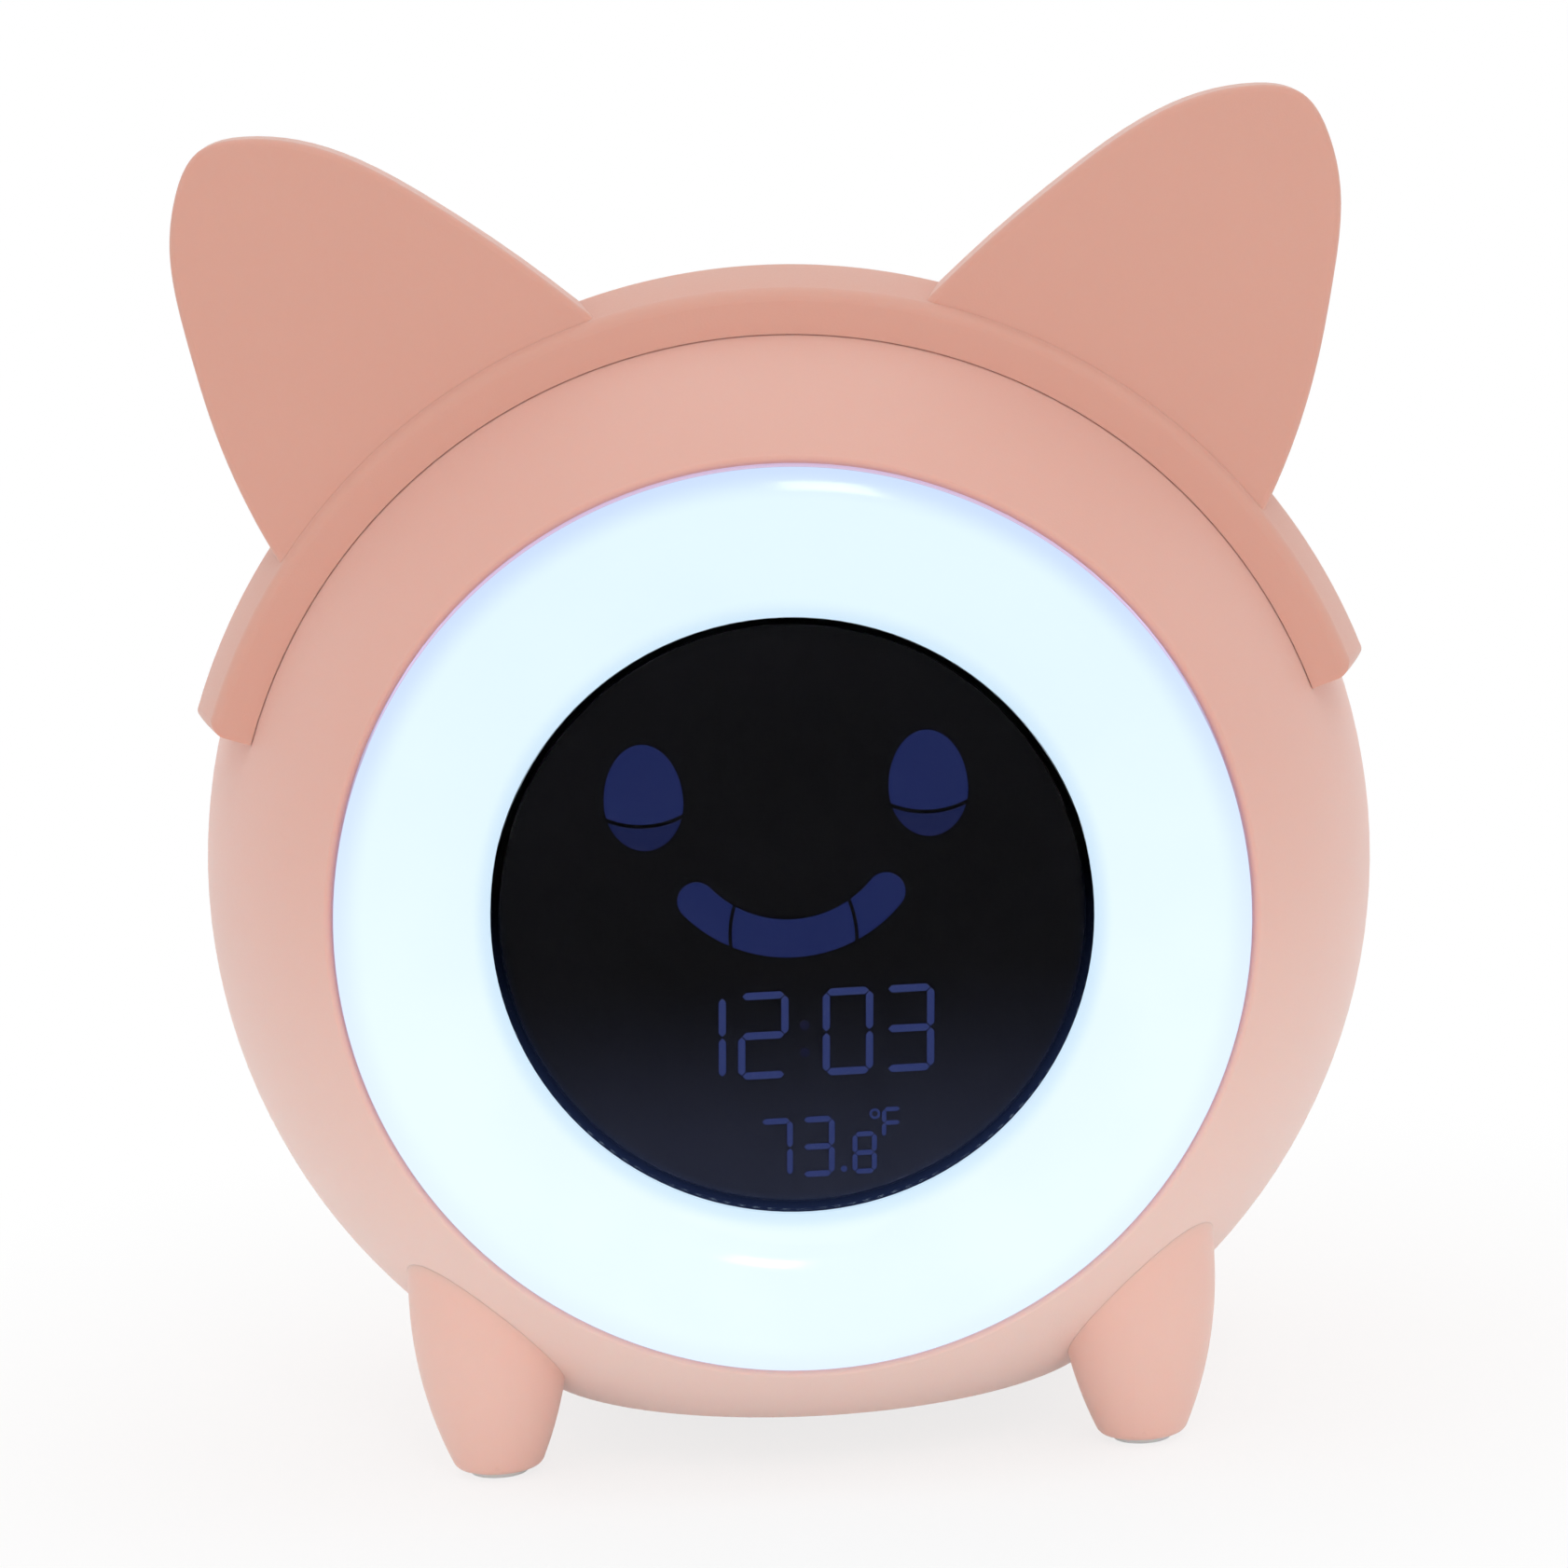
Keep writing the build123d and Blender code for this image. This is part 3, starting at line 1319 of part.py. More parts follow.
leg_screws = group(
    screw(
        level(-leg_boss_level, x, back),
        case_screw_radius,
        leg_screw_length,
        leg_head_radius,
        leg_head_height,
    )
    for x in (-leg_x, leg_x)
    for back in (-leg_y, leg_y)
)
save(leg_screws, "leg_screws")

ring_places = [polar(ring_screw_circle, angle) for angle in ring_screw_angles]
frame_places = [polar(frame_screw_circle, angle) for angle in frame_screw_angles]
post_places = [polar(frame_post_circle, angle) for angle in frame_screw_angles]
small_places = [backing(-led_board_back, x, height) for x, height in ring_places]
small_places += [backing(-frame_back, x, height) for x, height in frame_places]
small_places += [backing(-board_back, x, height) for x, height in post_places]
small_places += [facing(-key_board_back, x, key_row_height) for x in (-key_post_x, key_post_x)]
small_places += [
    facing(speaker_flange - speaker_flange_back, x, speaker_height)
    for x in (-speaker_ear_x, speaker_ear_x)
]
small_places += [level(usb_board_top, x, usb_post_back) for x in (-usb_post_x, usb_post_x)]
small_places += [
    level(rib_top + strap_thickness, 0, cell_back + back)
    for back in (-strap_screw_place, strap_screw_place)
]
save(group(small_screw(place) for place in small_places), "small_screws")


# ---------------------------------------------------------------- leads inside the housing
def wire(points, shift):
    """Round wire along a route of (x, depth, height) points, moved sideways by shift."""
    places = [(x + shift, centre_y - depth, centre_z + height) for x, depth, height in points]
    corners = []
    for before, here, after in zip(places, places[1:], places[2:]):
        inward = Vector(*here) - Vector(*before)
        outward = Vector(*after) - Vector(*here)
        turn = radians(inward.get_angle(outward))
        corners.append(wire_bend * min(inward.length, outward.length) / tan(turn / 2))
    print("lead radii", [round(corner, 1) for corner in corners])
    with BuildPart() as strand:
        with BuildLine() as route:
            FilletPolyline(*places, radius=corners)
        with BuildSketch(Plane(origin=route.line @ 0, z_dir=route.line % 0)):
            Circle(wire_radius)
        sweep()
    return strand.part


socket_end = board_back - socket_width
sockets = [(index - (socket_count - 1) / 2) * socket_spacing for index in range(socket_count)]
half = wire_spacing / 2

key_route = [
    (sockets[0], socket_end, socket_row_height),
    (sockets[0], socket_end - key_lead_straight, socket_row_height),
    (key_lead_x, key_lead_straight - key_board_back, key_row_height),
    (key_lead_x, -key_board_back, key_row_height),
]
save(group(wire(key_route, side * half) for side in (-1, 1)), "key_leads")

speaker_lead_level = speaker_height + speaker_lead_rise
flange_depth = speaker_flange - speaker_flange_back
speaker_route = [
    (sockets[1], socket_end, socket_row_height),
    (sockets[1], socket_end - speaker_lead_straight, socket_row_height),
    (speaker_lead_x, flange_depth + speaker_lead_end, speaker_lead_level),
    (speaker_lead_x, flange_depth, speaker_lead_level),
]
save(group(wire(speaker_route, side * half) for side in (-1, 1)), "speaker_leads")

landing_depth = -usb_board_front - usb_lead_landing
usb_route = [
    (sockets[3], socket_end, socket_row_height),
    (sockets[3], socket_end - usb_lead_straight, socket_row_height),
    (usb_lead_upper_x, socket_end - usb_lead_back, 0),
    (usb_lead_lower_x, usb_lead_ahead - usb_board_front, usb_height + usb_lead_lower_rise),
    (usb_lead_end_x, landing_depth, usb_height + usb_lead_end_rise),
    (usb_lead_end_x, landing_depth, usb_board_top),
]
save(group(wire(usb_route, side * half) for side in (-1, 1)), "usb_leads")

led_lead_x = led_lead_inset - ring_outer_radius
led_route = [
    (led_lead_x, board_front, led_lead_height),
    (led_lead_x, board_front + led_lead_straight, led_lead_height),
    (led_lead_x, led_board_back - led_lead_straight, -led_lead_height),
    (led_lead_x, led_board_back, -led_lead_height),
]
save(group(wire(led_route, side * half) for side in (-1, 1)), "led_leads")


def cell_route(side, end):
    """From the cell's socket over one side of the housing to that end of the cell."""
    start = sockets[2] + side * half
    widest = side * (cell_length / 2 + cell_lead_reach)
    return [
        (start, socket_end, socket_row_height),
        (start, socket_end - cell_lead_straight, socket_row_height),
        (side * cell_lead_spread, socket_end - cell_lead_back, cell_lead_height),
        (widest, cell_lead_ahead - cell_back, cell_lead_low),
        (widest, -cell_back, cell_height + cell_lead_rise),
        (side * (cell_length / 2 + cell_lead_tail), -cell_back, cell_height),
        (end, -cell_back, cell_height),
    ]


cell_ends = (-cell_length / 2, cell_length / 2 + cell_nub)
cell_leads = group(wire(cell_route(side, end), 0) for side, end in zip((-1, 1), cell_ends))
save(cell_leads, "cell_leads")
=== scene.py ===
import json
import math

import bpy
from mathutils import Matrix, Vector

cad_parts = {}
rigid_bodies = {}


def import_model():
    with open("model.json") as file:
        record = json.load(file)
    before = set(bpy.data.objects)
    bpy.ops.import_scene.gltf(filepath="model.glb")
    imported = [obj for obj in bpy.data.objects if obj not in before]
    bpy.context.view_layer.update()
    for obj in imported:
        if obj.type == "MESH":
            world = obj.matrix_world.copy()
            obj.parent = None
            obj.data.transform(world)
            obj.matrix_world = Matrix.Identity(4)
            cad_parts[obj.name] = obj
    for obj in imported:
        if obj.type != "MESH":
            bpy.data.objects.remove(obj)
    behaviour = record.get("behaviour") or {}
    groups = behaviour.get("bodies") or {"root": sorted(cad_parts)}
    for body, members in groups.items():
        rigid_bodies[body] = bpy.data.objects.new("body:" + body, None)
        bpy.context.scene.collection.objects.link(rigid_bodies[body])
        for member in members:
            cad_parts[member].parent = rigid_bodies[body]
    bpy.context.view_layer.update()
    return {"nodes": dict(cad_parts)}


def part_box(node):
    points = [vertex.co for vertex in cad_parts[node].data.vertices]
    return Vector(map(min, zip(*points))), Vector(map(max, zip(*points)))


# Look of a round bedside alarm clock with a glowing ring, a segment display and a headband with two ears.
# Metres. +Z is up and the display faces -Y.

MM = 0.001

# From the axis of the ring
RING_OUTER = 39.12 * MM
RING_INNER = 25.96 * MM
COLON_X = 0.55 * MM
COLON_HALF_WIDTH = 0.8 * MM
COLON_DEPTH = 15.0 * MM             # both dots lie higher than this below the axis
EDGE = 0.1 * MM                     # soft edge between two finishes

# Painted light: coloured plastic grows paler between these heights, from the ring's axis, standing in for
# light thrown up from the table below
BOUNCE_PAINT_START, BOUNCE_PAINT_END = 0.020, -0.040
BOUNCE_PAINT_TONE = (1.0, 0.74, 0.66)
BOUNCE_PAINT_SHARE, BOUNCE_PAINT_SHARE_LEG = 0.75, 0.6

# Floor: it fades into the background between these distances from its middle
FLOOR_HALF = 3.0
FADE_START, FADE_END = 0.05, 0.13
FADE_LEAST = 0.78                   # share of the background in the middle

# Surroundings: strengths, where the first is added towards the top
WORLD_TOP, WORLD_FRONT, WORLD_BACK = 0.10, 0.42, 0.85

# Camera: angles in degrees, lens and sensor in millimetres, shift in pixels of the square frame
CAMERA_AZIMUTH, CAMERA_ELEVATION, CAMERA_ROLL = -0.04, 9.82, -3.06
CAMERA_DISTANCE = 0.55
CAMERA_LENS, CAMERA_SENSOR = 139.13, 36.0
CAMERA_SHIFT = (-5.2, 75.52)
CAMERA_CLIP = 0.01
FRAME_PIXELS = 1682

for thing in list(bpy.data.objects):
    bpy.data.objects.remove(thing)
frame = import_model()
nodes = frame["nodes"]

ring_low, ring_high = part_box("light_ring")
seam_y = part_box("front_housing")[1].y
CENTRE = Vector((0.0, seam_y, (ring_low.z + ring_high.z) / 2))     # middle of the ball


# ---------------------------------------------------------------- node helpers
def new_material(name):
    material = bpy.data.materials.new(name)
    material.use_nodes = True
    return material, material.node_tree, material.node_tree.nodes["Principled BSDF"]


def add(tree, kind, **values):
    node = tree.nodes.new(kind)
    for key, value in values.items():
        setattr(node, key, value)
    return node


def axes(tree, space="Object"):
    """Sockets X, Y and Z of the piece's own coordinates in metres, or of a direction in the surroundings."""
    coordinates = add(tree, "ShaderNodeTexCoord")
    parts = add(tree, "ShaderNodeSeparateXYZ")
    tree.links.new(coordinates.outputs[space], parts.inputs[0])
    return parts.outputs


def feeding(shader, socket):
    """The socket that feeds this one."""
    return shader.inputs[socket].links[0].from_socket


def place(tree, stretch=(1, 1, 1)):
    """The piece's own coordinates in metres, stretched along its axes."""
    coordinates = add(tree, "ShaderNodeTexCoord")
    mapping = add(tree, "ShaderNodeMapping")
    mapping.inputs["Scale"].default_value = stretch
    tree.links.new(coordinates.outputs["Object"], mapping.inputs["Vector"])
    return mapping.outputs["Vector"]


def noise(tree, scale, detail=3.0, roughness=0.55, stretch=(1, 1, 1)):
    """Soft noise; scale counts its lumps per metre."""
    texture = add(tree, "ShaderNodeTexNoise")
    texture.inputs["Scale"].default_value = scale
    texture.inputs["Detail"].default_value = detail
    texture.inputs["Roughness"].default_value = roughness
    tree.links.new(place(tree, stretch), texture.inputs["Vector"])
    return texture.outputs["Fac"]


def remap(tree, value, low, high, start=0.0, end=1.0):
    """Takes low..high to start..end, smoothly and without going beyond."""
    node = add(tree, "ShaderNodeMapRange", interpolation_type="SMOOTHSTEP")
    node.inputs["From Min"].default_value = low
    node.inputs["From Max"].default_value = high
    node.inputs["To Min"].default_value = start
    node.inputs["To Max"].default_value = end
    tree.links.new(value, node.inputs["Value"])
    return node.outputs["Result"]


def calc(tree, operation, first, second=None):
    node = add(tree, "ShaderNodeMath", operation=operation)
    for socket, value in zip(node.inputs, (first, second)):
        if isinstance(value, (int, float)):
            socket.default_value = value
        elif value is not None:
            tree.links.new(value, socket)
    return node.outputs[0]


def blend(tree, factor, first, second):
    """Mix of two colours, each a tuple or a socket."""
    node = add(tree, "ShaderNodeMix", data_type="RGBA")
    tree.links.new(factor, node.inputs[0])
    for socket, value in ((node.inputs[6], first), (node.inputs[7], second)):
        if isinstance(value, tuple):
            socket.default_value = (*value, 1.0)
        else:
            tree.links.new(value, socket)
    return node.outputs[2]


def bump(tree, shader, height, distance, strength=1.0):
    """Relief of that depth in metres; a second call lies over the first."""
    node = add(tree, "ShaderNodeBump")
    node.inputs["Strength"].default_value = strength
    node.inputs["Distance"].default_value = distance
    tree.links.new(height, node.inputs["Height"])
    if shader.inputs["Normal"].is_linked:
        tree.links.new(feeding(shader, "Normal"), node.inputs["Normal"])
    tree.links.new(node.outputs["Normal"], shader.inputs["Normal"])


def surface(name, tone, other, blotch, rough, grain, depth, **sockets):
    """Finish with two tones in soft blotches, varied roughness and a fine grain.
    Blotch and grain are lumps per metre, rough is (smoothest, roughest) and depth the grain's relief."""
    material, tree, shader = new_material(name)
    soft = noise(tree, blotch)
    fine = noise(tree, grain, 2.0)
    tree.links.new(blend(tree, remap(tree, soft, 0.3, 0.7), tone, other), shader.inputs["Base Color"])
    tree.links.new(remap(tree, fine, 0.3, 0.7, *rough), shader.inputs["Roughness"])
    bump(tree, shader, fine, depth)
    for key, value in sockets.items():
        shader.inputs[key.replace("_", " ")].default_value = value
    return material, tree, shader


def from_axis(tree):
    """Distance from the ring's axis and height above it, in metres."""
    parts = axes(tree)
    height = calc(tree, "SUBTRACT", parts["Z"], CENTRE.z)
    squares = calc(tree, "ADD", calc(tree, "MULTIPLY", parts["X"], parts["X"]),
                   calc(tree, "MULTIPLY", height, height))
    return calc(tree, "SQRT", squares), height


def seen_ray(tree):
    """1 for a ray that shows the background: to the camera, in a gloss or through glass."""
    path = add(tree, "ShaderNodeLightPath")
    seen = calc(tree, "MAXIMUM", path.outputs["Is Camera Ray"], path.outputs["Is Glossy Ray"])
    return calc(tree, "MAXIMUM", seen, path.outputs["Is Transmission Ray"])


def base_name(material):
    return material.name.split(".")[0]


# ---------------------------------------------------------------- materials
def soft_touch(name, tone, other, bounce_share=BOUNCE_PAINT_SHARE):
    """Matte coloured plastic with a fine spark-eroded grain and a soft sheen; the last argument is the share
    of the pale tone low down, painted light that stands in for light thrown up from the table below."""
    material, tree, shader = surface(name, tone, other, 26, (0.50, 0.62), 5200, 0.000012,
                                     Specular_IOR_Level=0.42, Sheen_Weight=0.30, Sheen_Roughness=0.45,
                                     Subsurface_Weight=0.4, Subsurface_Scale=0.0004,
                                     Subsurface_Radius=(1.0, 0.5, 0.35))
    height = from_axis(tree)[1]
    # Painted light: the plastic grows paler low down, standing in for light thrown up from the table below
    low = remap(tree, height, BOUNCE_PAINT_START, BOUNCE_PAINT_END, 0.0, bounce_share)
    with_painted_light = blend(tree, low, feeding(shader, "Base Color"), BOUNCE_PAINT_TONE)
    tree.links.new(with_painted_light, shader.inputs["Base Color"])
    bump(tree, shader, noise(tree, 900, 2.0), 0.000006, 0.5)
    return material


def milky_diffuser():
    """Glossy milk-white diffuser, lit from behind: bluer at its edges, whiter in the middle and below."""
    material, tree, shader = new_material("milky_diffuser")
    radius, height = from_axis(tree)
    rim = remap(tree, radius, RING_OUTER - 2.8 * MM, RING_OUTER - EDGE)
    inner = remap(tree, radius, RING_INNER, RING_INNER + 1.5 * MM, 1.0, 0.0)
    side = remap(tree, radius, RING_OUTER - 0.06 * MM, RING_OUTER - 0.03 * MM)
    low = remap(tree, height, 0.036, -0.024)
    clouds = remap(tree, noise(tree, 60, 2.0), 0.35, 0.65, 0.0, 0.12)
    core = blend(tree, low, (0.64, 0.79, 0.87), (0.715, 0.845, 0.88))
    core = blend(tree, clouds, core, (0.54, 0.70, 0.82))
    core = blend(tree, inner, core, (0.57, 0.74, 0.88))
    fringe = blend(tree, low, (0.47, 0.60, 0.86), (0.66, 0.78, 0.87))
    glow = blend(tree, rim, core, fringe)
    tree.links.new(blend(tree, side, glow, (0.42, 0.36, 0.52)), shader.inputs["Emission Color"])
    shader.inputs["Emission Strength"].default_value = 1.0
    shader.inputs["Base Color"].default_value = (0.14, 0.15, 0.16, 1.0)
    shader.inputs["Specular IOR Level"].default_value = 0.4
    tree.links.new(remap(tree, noise(tree, 400, 2.0), 0.3, 0.7, 0.10, 0.14), shader.inputs["Roughness"])
    bump(tree, shader, noise(tree, 1500, 1.0), 0.000001, 0.3)
    return material


def window():
    """Clear display window, smooth and all but free of reflections."""
    material, tree, shader = new_material("window")
    shader.inputs["Transmission Weight"].default_value = 1.0
    shader.inputs["IOR"].default_value = 1.05
    tone = blend(tree, noise(tree, 40), (0.90, 0.90, 0.93), (0.94, 0.94, 0.96))
    tree.links.new(tone, shader.inputs["Base Color"])
    tree.links.new(remap(tree, noise(tree, 300), 0.3, 0.7, 0.0, 0.02), shader.inputs["Roughness"])
    return material


def segment(name, glow):
    """Display segment with the faint pixel grain of its printed colour film."""
    material, tree, shader = surface(name, (0.004, 0.005, 0.012), (0.005, 0.006, 0.015), 200,
                                     (0.3, 0.4), 4000, 0.000001, Specular_IOR_Level=0.02)
    grain = remap(tree, noise(tree, 9000, 1.0), 0.3, 0.7)
    dim = tuple(channel * 0.86 for channel in glow)
    tree.links.new(blend(tree, grain, dim, glow), shader.inputs["Emission Color"])
    shader.inputs["Emission Strength"].default_value = 1.0
    return material


def dim_colon(material):
    """The two dots between the hours and the minutes are all but out."""
    tree = material.node_tree
    shader = tree.nodes["Principled BSDF"]
    parts = axes(tree)
    aside = calc(tree, "ABSOLUTE", calc(tree, "SUBTRACT", parts["X"], COLON_X))
    beside = remap(tree, aside, COLON_HALF_WIDTH, COLON_HALF_WIDTH + EDGE)
    foot = CENTRE.z - COLON_DEPTH
    below = remap(tree, parts["Z"], foot - EDGE, foot, 1.0, 0.0)
    lit = calc(tree, "MAXIMUM", beside, below)
    glow = blend(tree, lit, (0.004, 0.004, 0.014), feeding(shader, "Emission Color"))
    tree.links.new(glow, shader.inputs["Emission Color"])
    return material


def lcd_black():
    """Black of the display: a little lighter low down, a painted reflection of the white floor, with a faint
    blue edge where the ring shines in.
    """
    material, tree, shader = surface("lcd_black", (0.0012, 0.0012, 0.0018), (0.0018, 0.0018, 0.0026), 60,
                                     (0.35, 0.45), 3000, 0.000001, Specular_IOR_Level=0.03)
    radius, height = from_axis(tree)
    # Painted reflection of the white floor: the black grows lighter low down
    low = remap(tree, height, -0.004, -0.026)
    with_painted_light = blend(tree, low, feeding(shader, "Base Color"), (0.018, 0.021, 0.036))
    tree.links.new(with_painted_light, shader.inputs["Base Color"])
    rim = remap(tree, radius, RING_INNER - 1.5 * MM, RING_INNER - EDGE)
    rim = calc(tree, "MULTIPLY", rim, remap(tree, height, 0.004, -0.022))
    glow = blend(tree, rim, (0.0, 0.0, 0.0), (0.010, 0.017, 0.048))
    tree.links.new(glow, shader.inputs["Emission Color"])
    shader.inputs["Emission Strength"].default_value = 1.0
    return material


def brushed(name, tone, other, rough, stretch):
    """Metal with fine drawing lines along one axis."""
    material, tree, shader = surface(name, tone, other, 300, rough, 2500, 0.000002, Metallic=1.0)
    lines = noise(tree, 1800, 3.0, 0.6, stretch)
    bump(tree, shader, lines, 0.000004, 0.6)
    return material


def circuit_board(name, tone, other):
    """Solder mask with copper tracks that show through it."""
    material, tree, shader = surface(name, tone, other, 120, (0.28, 0.4), 2500, 0.000002)
    cells = add(tree, "ShaderNodeTexVoronoi", feature="DISTANCE_TO_EDGE")
    cells.inputs["Scale"].default_value = 260
    tree.links.new(place(tree), cells.inputs["Vector"])
    track = remap(tree, cells.outputs["Distance"], 0.05, 0.09, 1.0, 0.0)
    lighter = tuple(min(1.0, channel * 1.35 + 0.01) for channel in tone)
    tree.links.new(blend(tree, track, feeding(shader, "Base Color"), lighter), shader.inputs["Base Color"])
    bump(tree, shader, track, 0.00002, 0.6)
    return material


def foam():
    """Dark open-celled gasket foam."""
    material, tree, shader = surface("foam", (0.07, 0.07, 0.075), (0.11, 0.11, 0.115), 200,
                                     (0.85, 0.95), 3000, 0.00005)
    cells = add(tree, "ShaderNodeTexVoronoi")
    cells.inputs["Scale"].default_value = 2500
    tree.links.new(place(tree), cells.inputs["Vector"])
    bump(tree, shader, cells.outputs["Distance"], 0.0001)
    return material


def simple(*arguments, **sockets):
    """Finish of the surface function, as a material only."""
    return surface(*arguments, **sockets)[0]


FINISHES = {base_name(material): material for material in (
    soft_touch("body_plastic", (0.82, 0.460, 0.380), (0.81, 0.450, 0.370)),
    soft_touch("ear_plastic", (0.75, 0.398, 0.314), (0.74, 0.390, 0.307)),
    soft_touch("leg_plastic", (0.82, 0.370, 0.275), (0.81, 0.362, 0.268), BOUNCE_PAINT_SHARE_LEG),
    soft_touch("key_plastic", (0.82, 0.50, 0.43), (0.81, 0.49, 0.42)),
    simple("pad_silicone", (0.93, 0.90, 0.89), (0.90, 0.87, 0.86), 300, (0.35, 0.5), 2500, 0.00001,
           Subsurface_Weight=0.3, Subsurface_Scale=0.002),
    milky_diffuser(),
    window(),
    simple("black_plastic", (0.010, 0.010, 0.012), (0.015, 0.015, 0.017), 90, (0.45, 0.6), 4000, 0.00001),
    lcd_black(),
    segment("segment_blue", (0.0085, 0.0160, 0.084)),
    segment("segment_dark", (0.0060, 0.0100, 0.052)),
    dim_colon(segment("segment_digit", (0.0265, 0.0400, 0.142))),
    brushed("plated_metal", (0.70, 0.70, 0.72), (0.60, 0.60, 0.63), (0.16, 0.28), (1, 0.05, 1)),
    simple("clear_guide", (0.82, 0.86, 0.88), (0.78, 0.82, 0.85), 100, (0.3, 0.4), 2000, 0.000004,
           Transmission_Weight=0.6),
    circuit_board("board_white", (0.78, 0.78, 0.75), (0.74, 0.74, 0.71)),
    simple("white_plastic", (0.80, 0.80, 0.77), (0.76, 0.76, 0.73), 60, (0.4, 0.55), 3500, 0.00001),
    simple("led_white", (0.85, 0.80, 0.55), (0.82, 0.76, 0.48), 600, (0.3, 0.4), 3000, 0.000004,
           Emission_Color=(0.85, 0.93, 1.0, 1.0), Emission_Strength=1.0),
    circuit_board("board_green", (0.015, 0.13, 0.05), (0.012, 0.11, 0.04)),
    simple("chip_black", (0.018, 0.018, 0.020), (0.026, 0.026, 0.028), 500, (0.5, 0.65), 6000, 0.00001),
    brushed("can_metal", (0.66, 0.67, 0.69), (0.58, 0.59, 0.61), (0.22, 0.34), (1, 0.04, 1)),
    simple("socket_plastic", (0.74, 0.70, 0.58), (0.70, 0.66, 0.54), 300, (0.4, 0.5), 3500, 0.00001),
    brushed("steel", (0.48, 0.48, 0.50), (0.42, 0.42, 0.44), (0.28, 0.42), (0.06, 1, 1)),
    simple("magnet", (0.020, 0.020, 0.022), (0.030, 0.030, 0.032), 200, (0.4, 0.55), 3500, 0.00001),
    simple("cone_paper", (0.010, 0.010, 0.011), (0.016, 0.016, 0.017), 900, (0.8, 0.9), 3500, 0.00004),
    foam(),
    simple("cell_sleeve", (0.022, 0.10, 0.34), (0.018, 0.085, 0.30), 70, (0.24, 0.34), 1200, 0.00001),
    brushed("screw_steel", (0.50, 0.50, 0.53), (0.42, 0.42, 0.45), (0.24, 0.38), (1, 0.08, 1)),
    simple("wire_sleeve", (0.27, 0.010, 0.009), (0.22, 0.008, 0.007), 150, (0.35, 0.5), 3000, 0.000008),
)}
for node in nodes.values():
    for slot in node.material_slots:
        slot.material = FINISHES[base_name(slot.material)]
# The frame's rim shows behind the window's edge.
nodes["display_frame"].material_slots[0].material = FINISHES["lcd_black"]


# ---------------------------------------------------------------- floor, light and camera
def floor_material():
    """White table that keeps a soft shadow near the clock and fades into the white background."""
    material, tree, shader = surface("floor_white", (0.93, 0.93, 0.93), (0.95, 0.95, 0.95), 8,
                                     (0.7, 0.8), 800, 0.00001)
    coordinates = add(tree, "ShaderNodeTexCoord")
    flat = add(tree, "ShaderNodeVectorMath", operation="LENGTH")
    tree.links.new(coordinates.outputs["Object"], flat.inputs[0])
    far = remap(tree, flat.outputs["Value"], FADE_START, FADE_END, FADE_LEAST, 1.0)
    glow = add(tree, "ShaderNodeEmission")
    mix = add(tree, "ShaderNodeMixShader")
    tree.links.new(calc(tree, "MULTIPLY", far, seen_ray(tree)), mix.inputs[0])
    tree.links.new(shader.outputs[0], mix.inputs[1])
    tree.links.new(glow.outputs[0], mix.inputs[2])
    tree.links.new(mix.outputs[0], tree.nodes["Material Output"].inputs["Surface"])
    return material


def make_floor():
    mesh = bpy.data.meshes.new("floor")
    corners = [(x * FLOOR_HALF, y * FLOOR_HALF, 0) for x, y in ((-1, -1), (1, -1), (1, 1), (-1, 1))]
    mesh.from_pydata(corners, [], [(0, 1, 2, 3)])
    floor = bpy.data.objects.new("floor", mesh)
    bpy.context.scene.collection.objects.link(floor)
    floor.data.materials.append(floor_material())


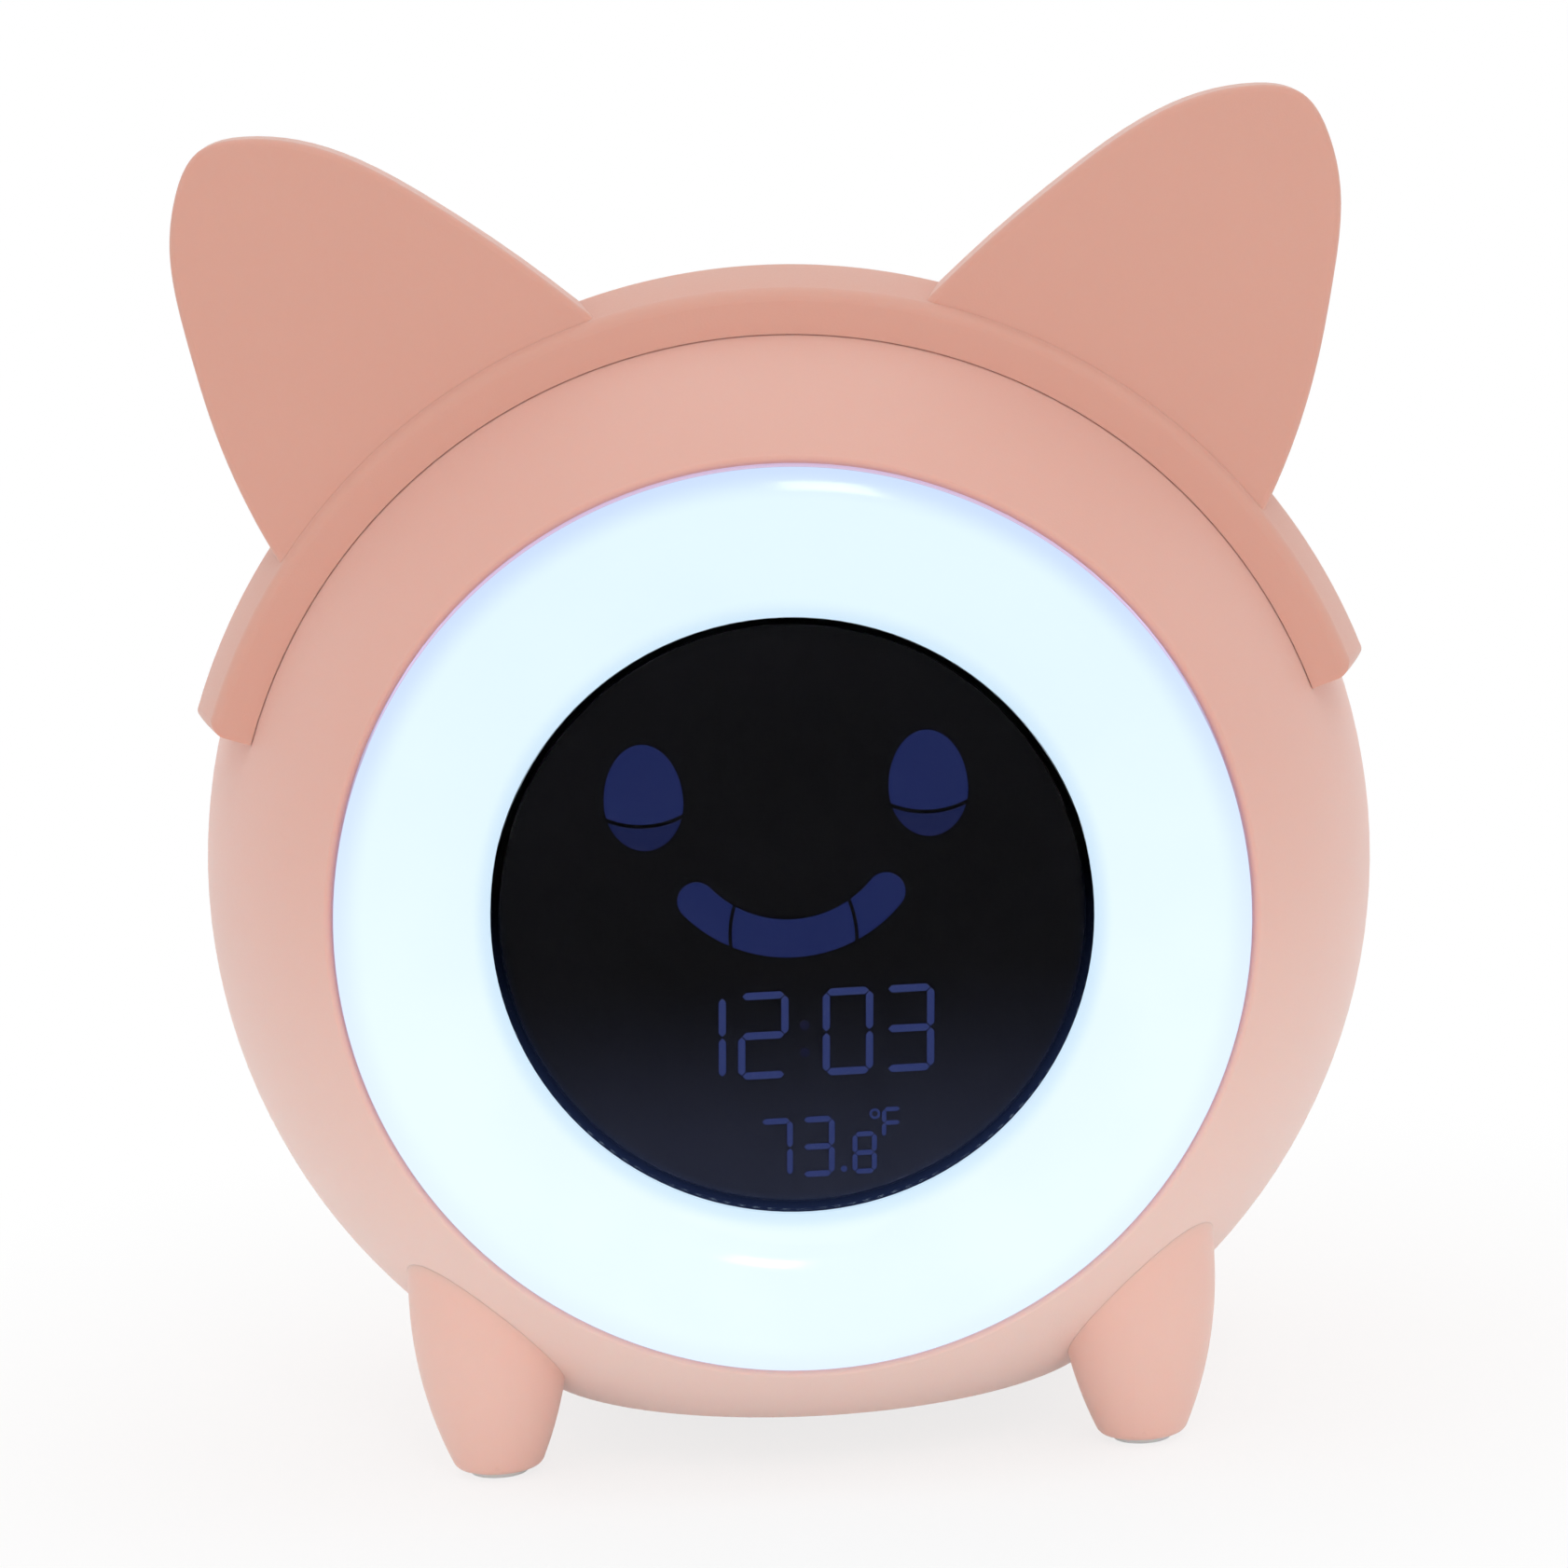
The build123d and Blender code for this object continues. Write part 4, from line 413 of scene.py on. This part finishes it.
def make_world():
    """White surroundings; their light is stronger from behind and a little stronger from above."""
    world = bpy.data.worlds.new("studio")
    bpy.context.scene.world = world
    world.use_nodes = True
    tree = world.node_tree
    background = tree.nodes["Background"]
    parts = axes(tree, "Generated")
    light = calc(tree, "ADD", remap(tree, parts["Z"], -0.2, 0.9, 0.0, WORLD_TOP),
                 remap(tree, parts["Y"], -1.0, 0.6, WORLD_FRONT, WORLD_BACK))
    strength = add(tree, "ShaderNodeMix", data_type="FLOAT")
    tree.links.new(seen_ray(tree), strength.inputs[0])
    tree.links.new(light, strength.inputs[2])
    strength.inputs[3].default_value = 1.0
    background.inputs["Color"].default_value = (1.0, 1.0, 1.0, 1.0)
    tree.links.new(strength.outputs[0], background.inputs["Strength"])


def direction(azimuth, elevation):
    """Unit vector away from the clock; azimuth counts from the front to the right, in degrees."""
    turn, rise = math.radians(azimuth), math.radians(elevation)
    return Vector((math.sin(turn) * math.cos(rise), -math.cos(turn) * math.cos(rise), math.sin(rise)))


def make_lamp(name, azimuth, elevation, distance, size, power, mirrored=True):
    """Soft rectangular lamp that points at the clock. One that isn't mirrored leaves no highlight."""
    lamp = bpy.data.lights.new(name, "AREA")
    lamp.shape = "RECTANGLE"
    lamp.size, lamp.size_y = size
    lamp.energy = power
    towards = direction(azimuth, elevation)
    thing = bpy.data.objects.new(name, lamp)
    thing.location = CENTRE + distance * towards
    thing.rotation_euler = towards.to_track_quat("Z", "Y").to_euler()
    thing.visible_glossy = mirrored
    bpy.context.scene.collection.objects.link(thing)


def make_camera():
    data = bpy.data.cameras.new("camera")
    data.sensor_width = CAMERA_SENSOR
    data.lens = CAMERA_LENS
    data.shift_x = CAMERA_SHIFT[0] / FRAME_PIXELS
    data.shift_y = CAMERA_SHIFT[1] / FRAME_PIXELS
    data.clip_start = CAMERA_CLIP
    camera = bpy.data.objects.new("camera", data)
    towards = direction(CAMERA_AZIMUTH, CAMERA_ELEVATION)
    camera.location = CENTRE + CAMERA_DISTANCE * towards
    roll = Matrix.Rotation(math.radians(CAMERA_ROLL), 3, "Z")
    aim = (-towards).to_track_quat("-Z", "Y").to_matrix() @ roll
    camera.rotation_euler = aim.to_euler()
    bpy.context.scene.collection.objects.link(camera)
    bpy.context.scene.camera = camera


make_floor()
make_world()
# Angles in degrees, distance and size in metres, power in watts
make_lamp("softbox", 8, 39, 0.9, (0.155, 0.14), 0.55)
make_lamp("top", 20, 85, 1.0, (0.8, 0.8), 1.15)
make_lamp("fill", 0, -1, 1.0, (1.2, 0.05), 1.9, mirrored=False)
make_camera()
bpy.context.scene.view_settings.view_transform = "Standard"

bpy.context.view_layer.update()
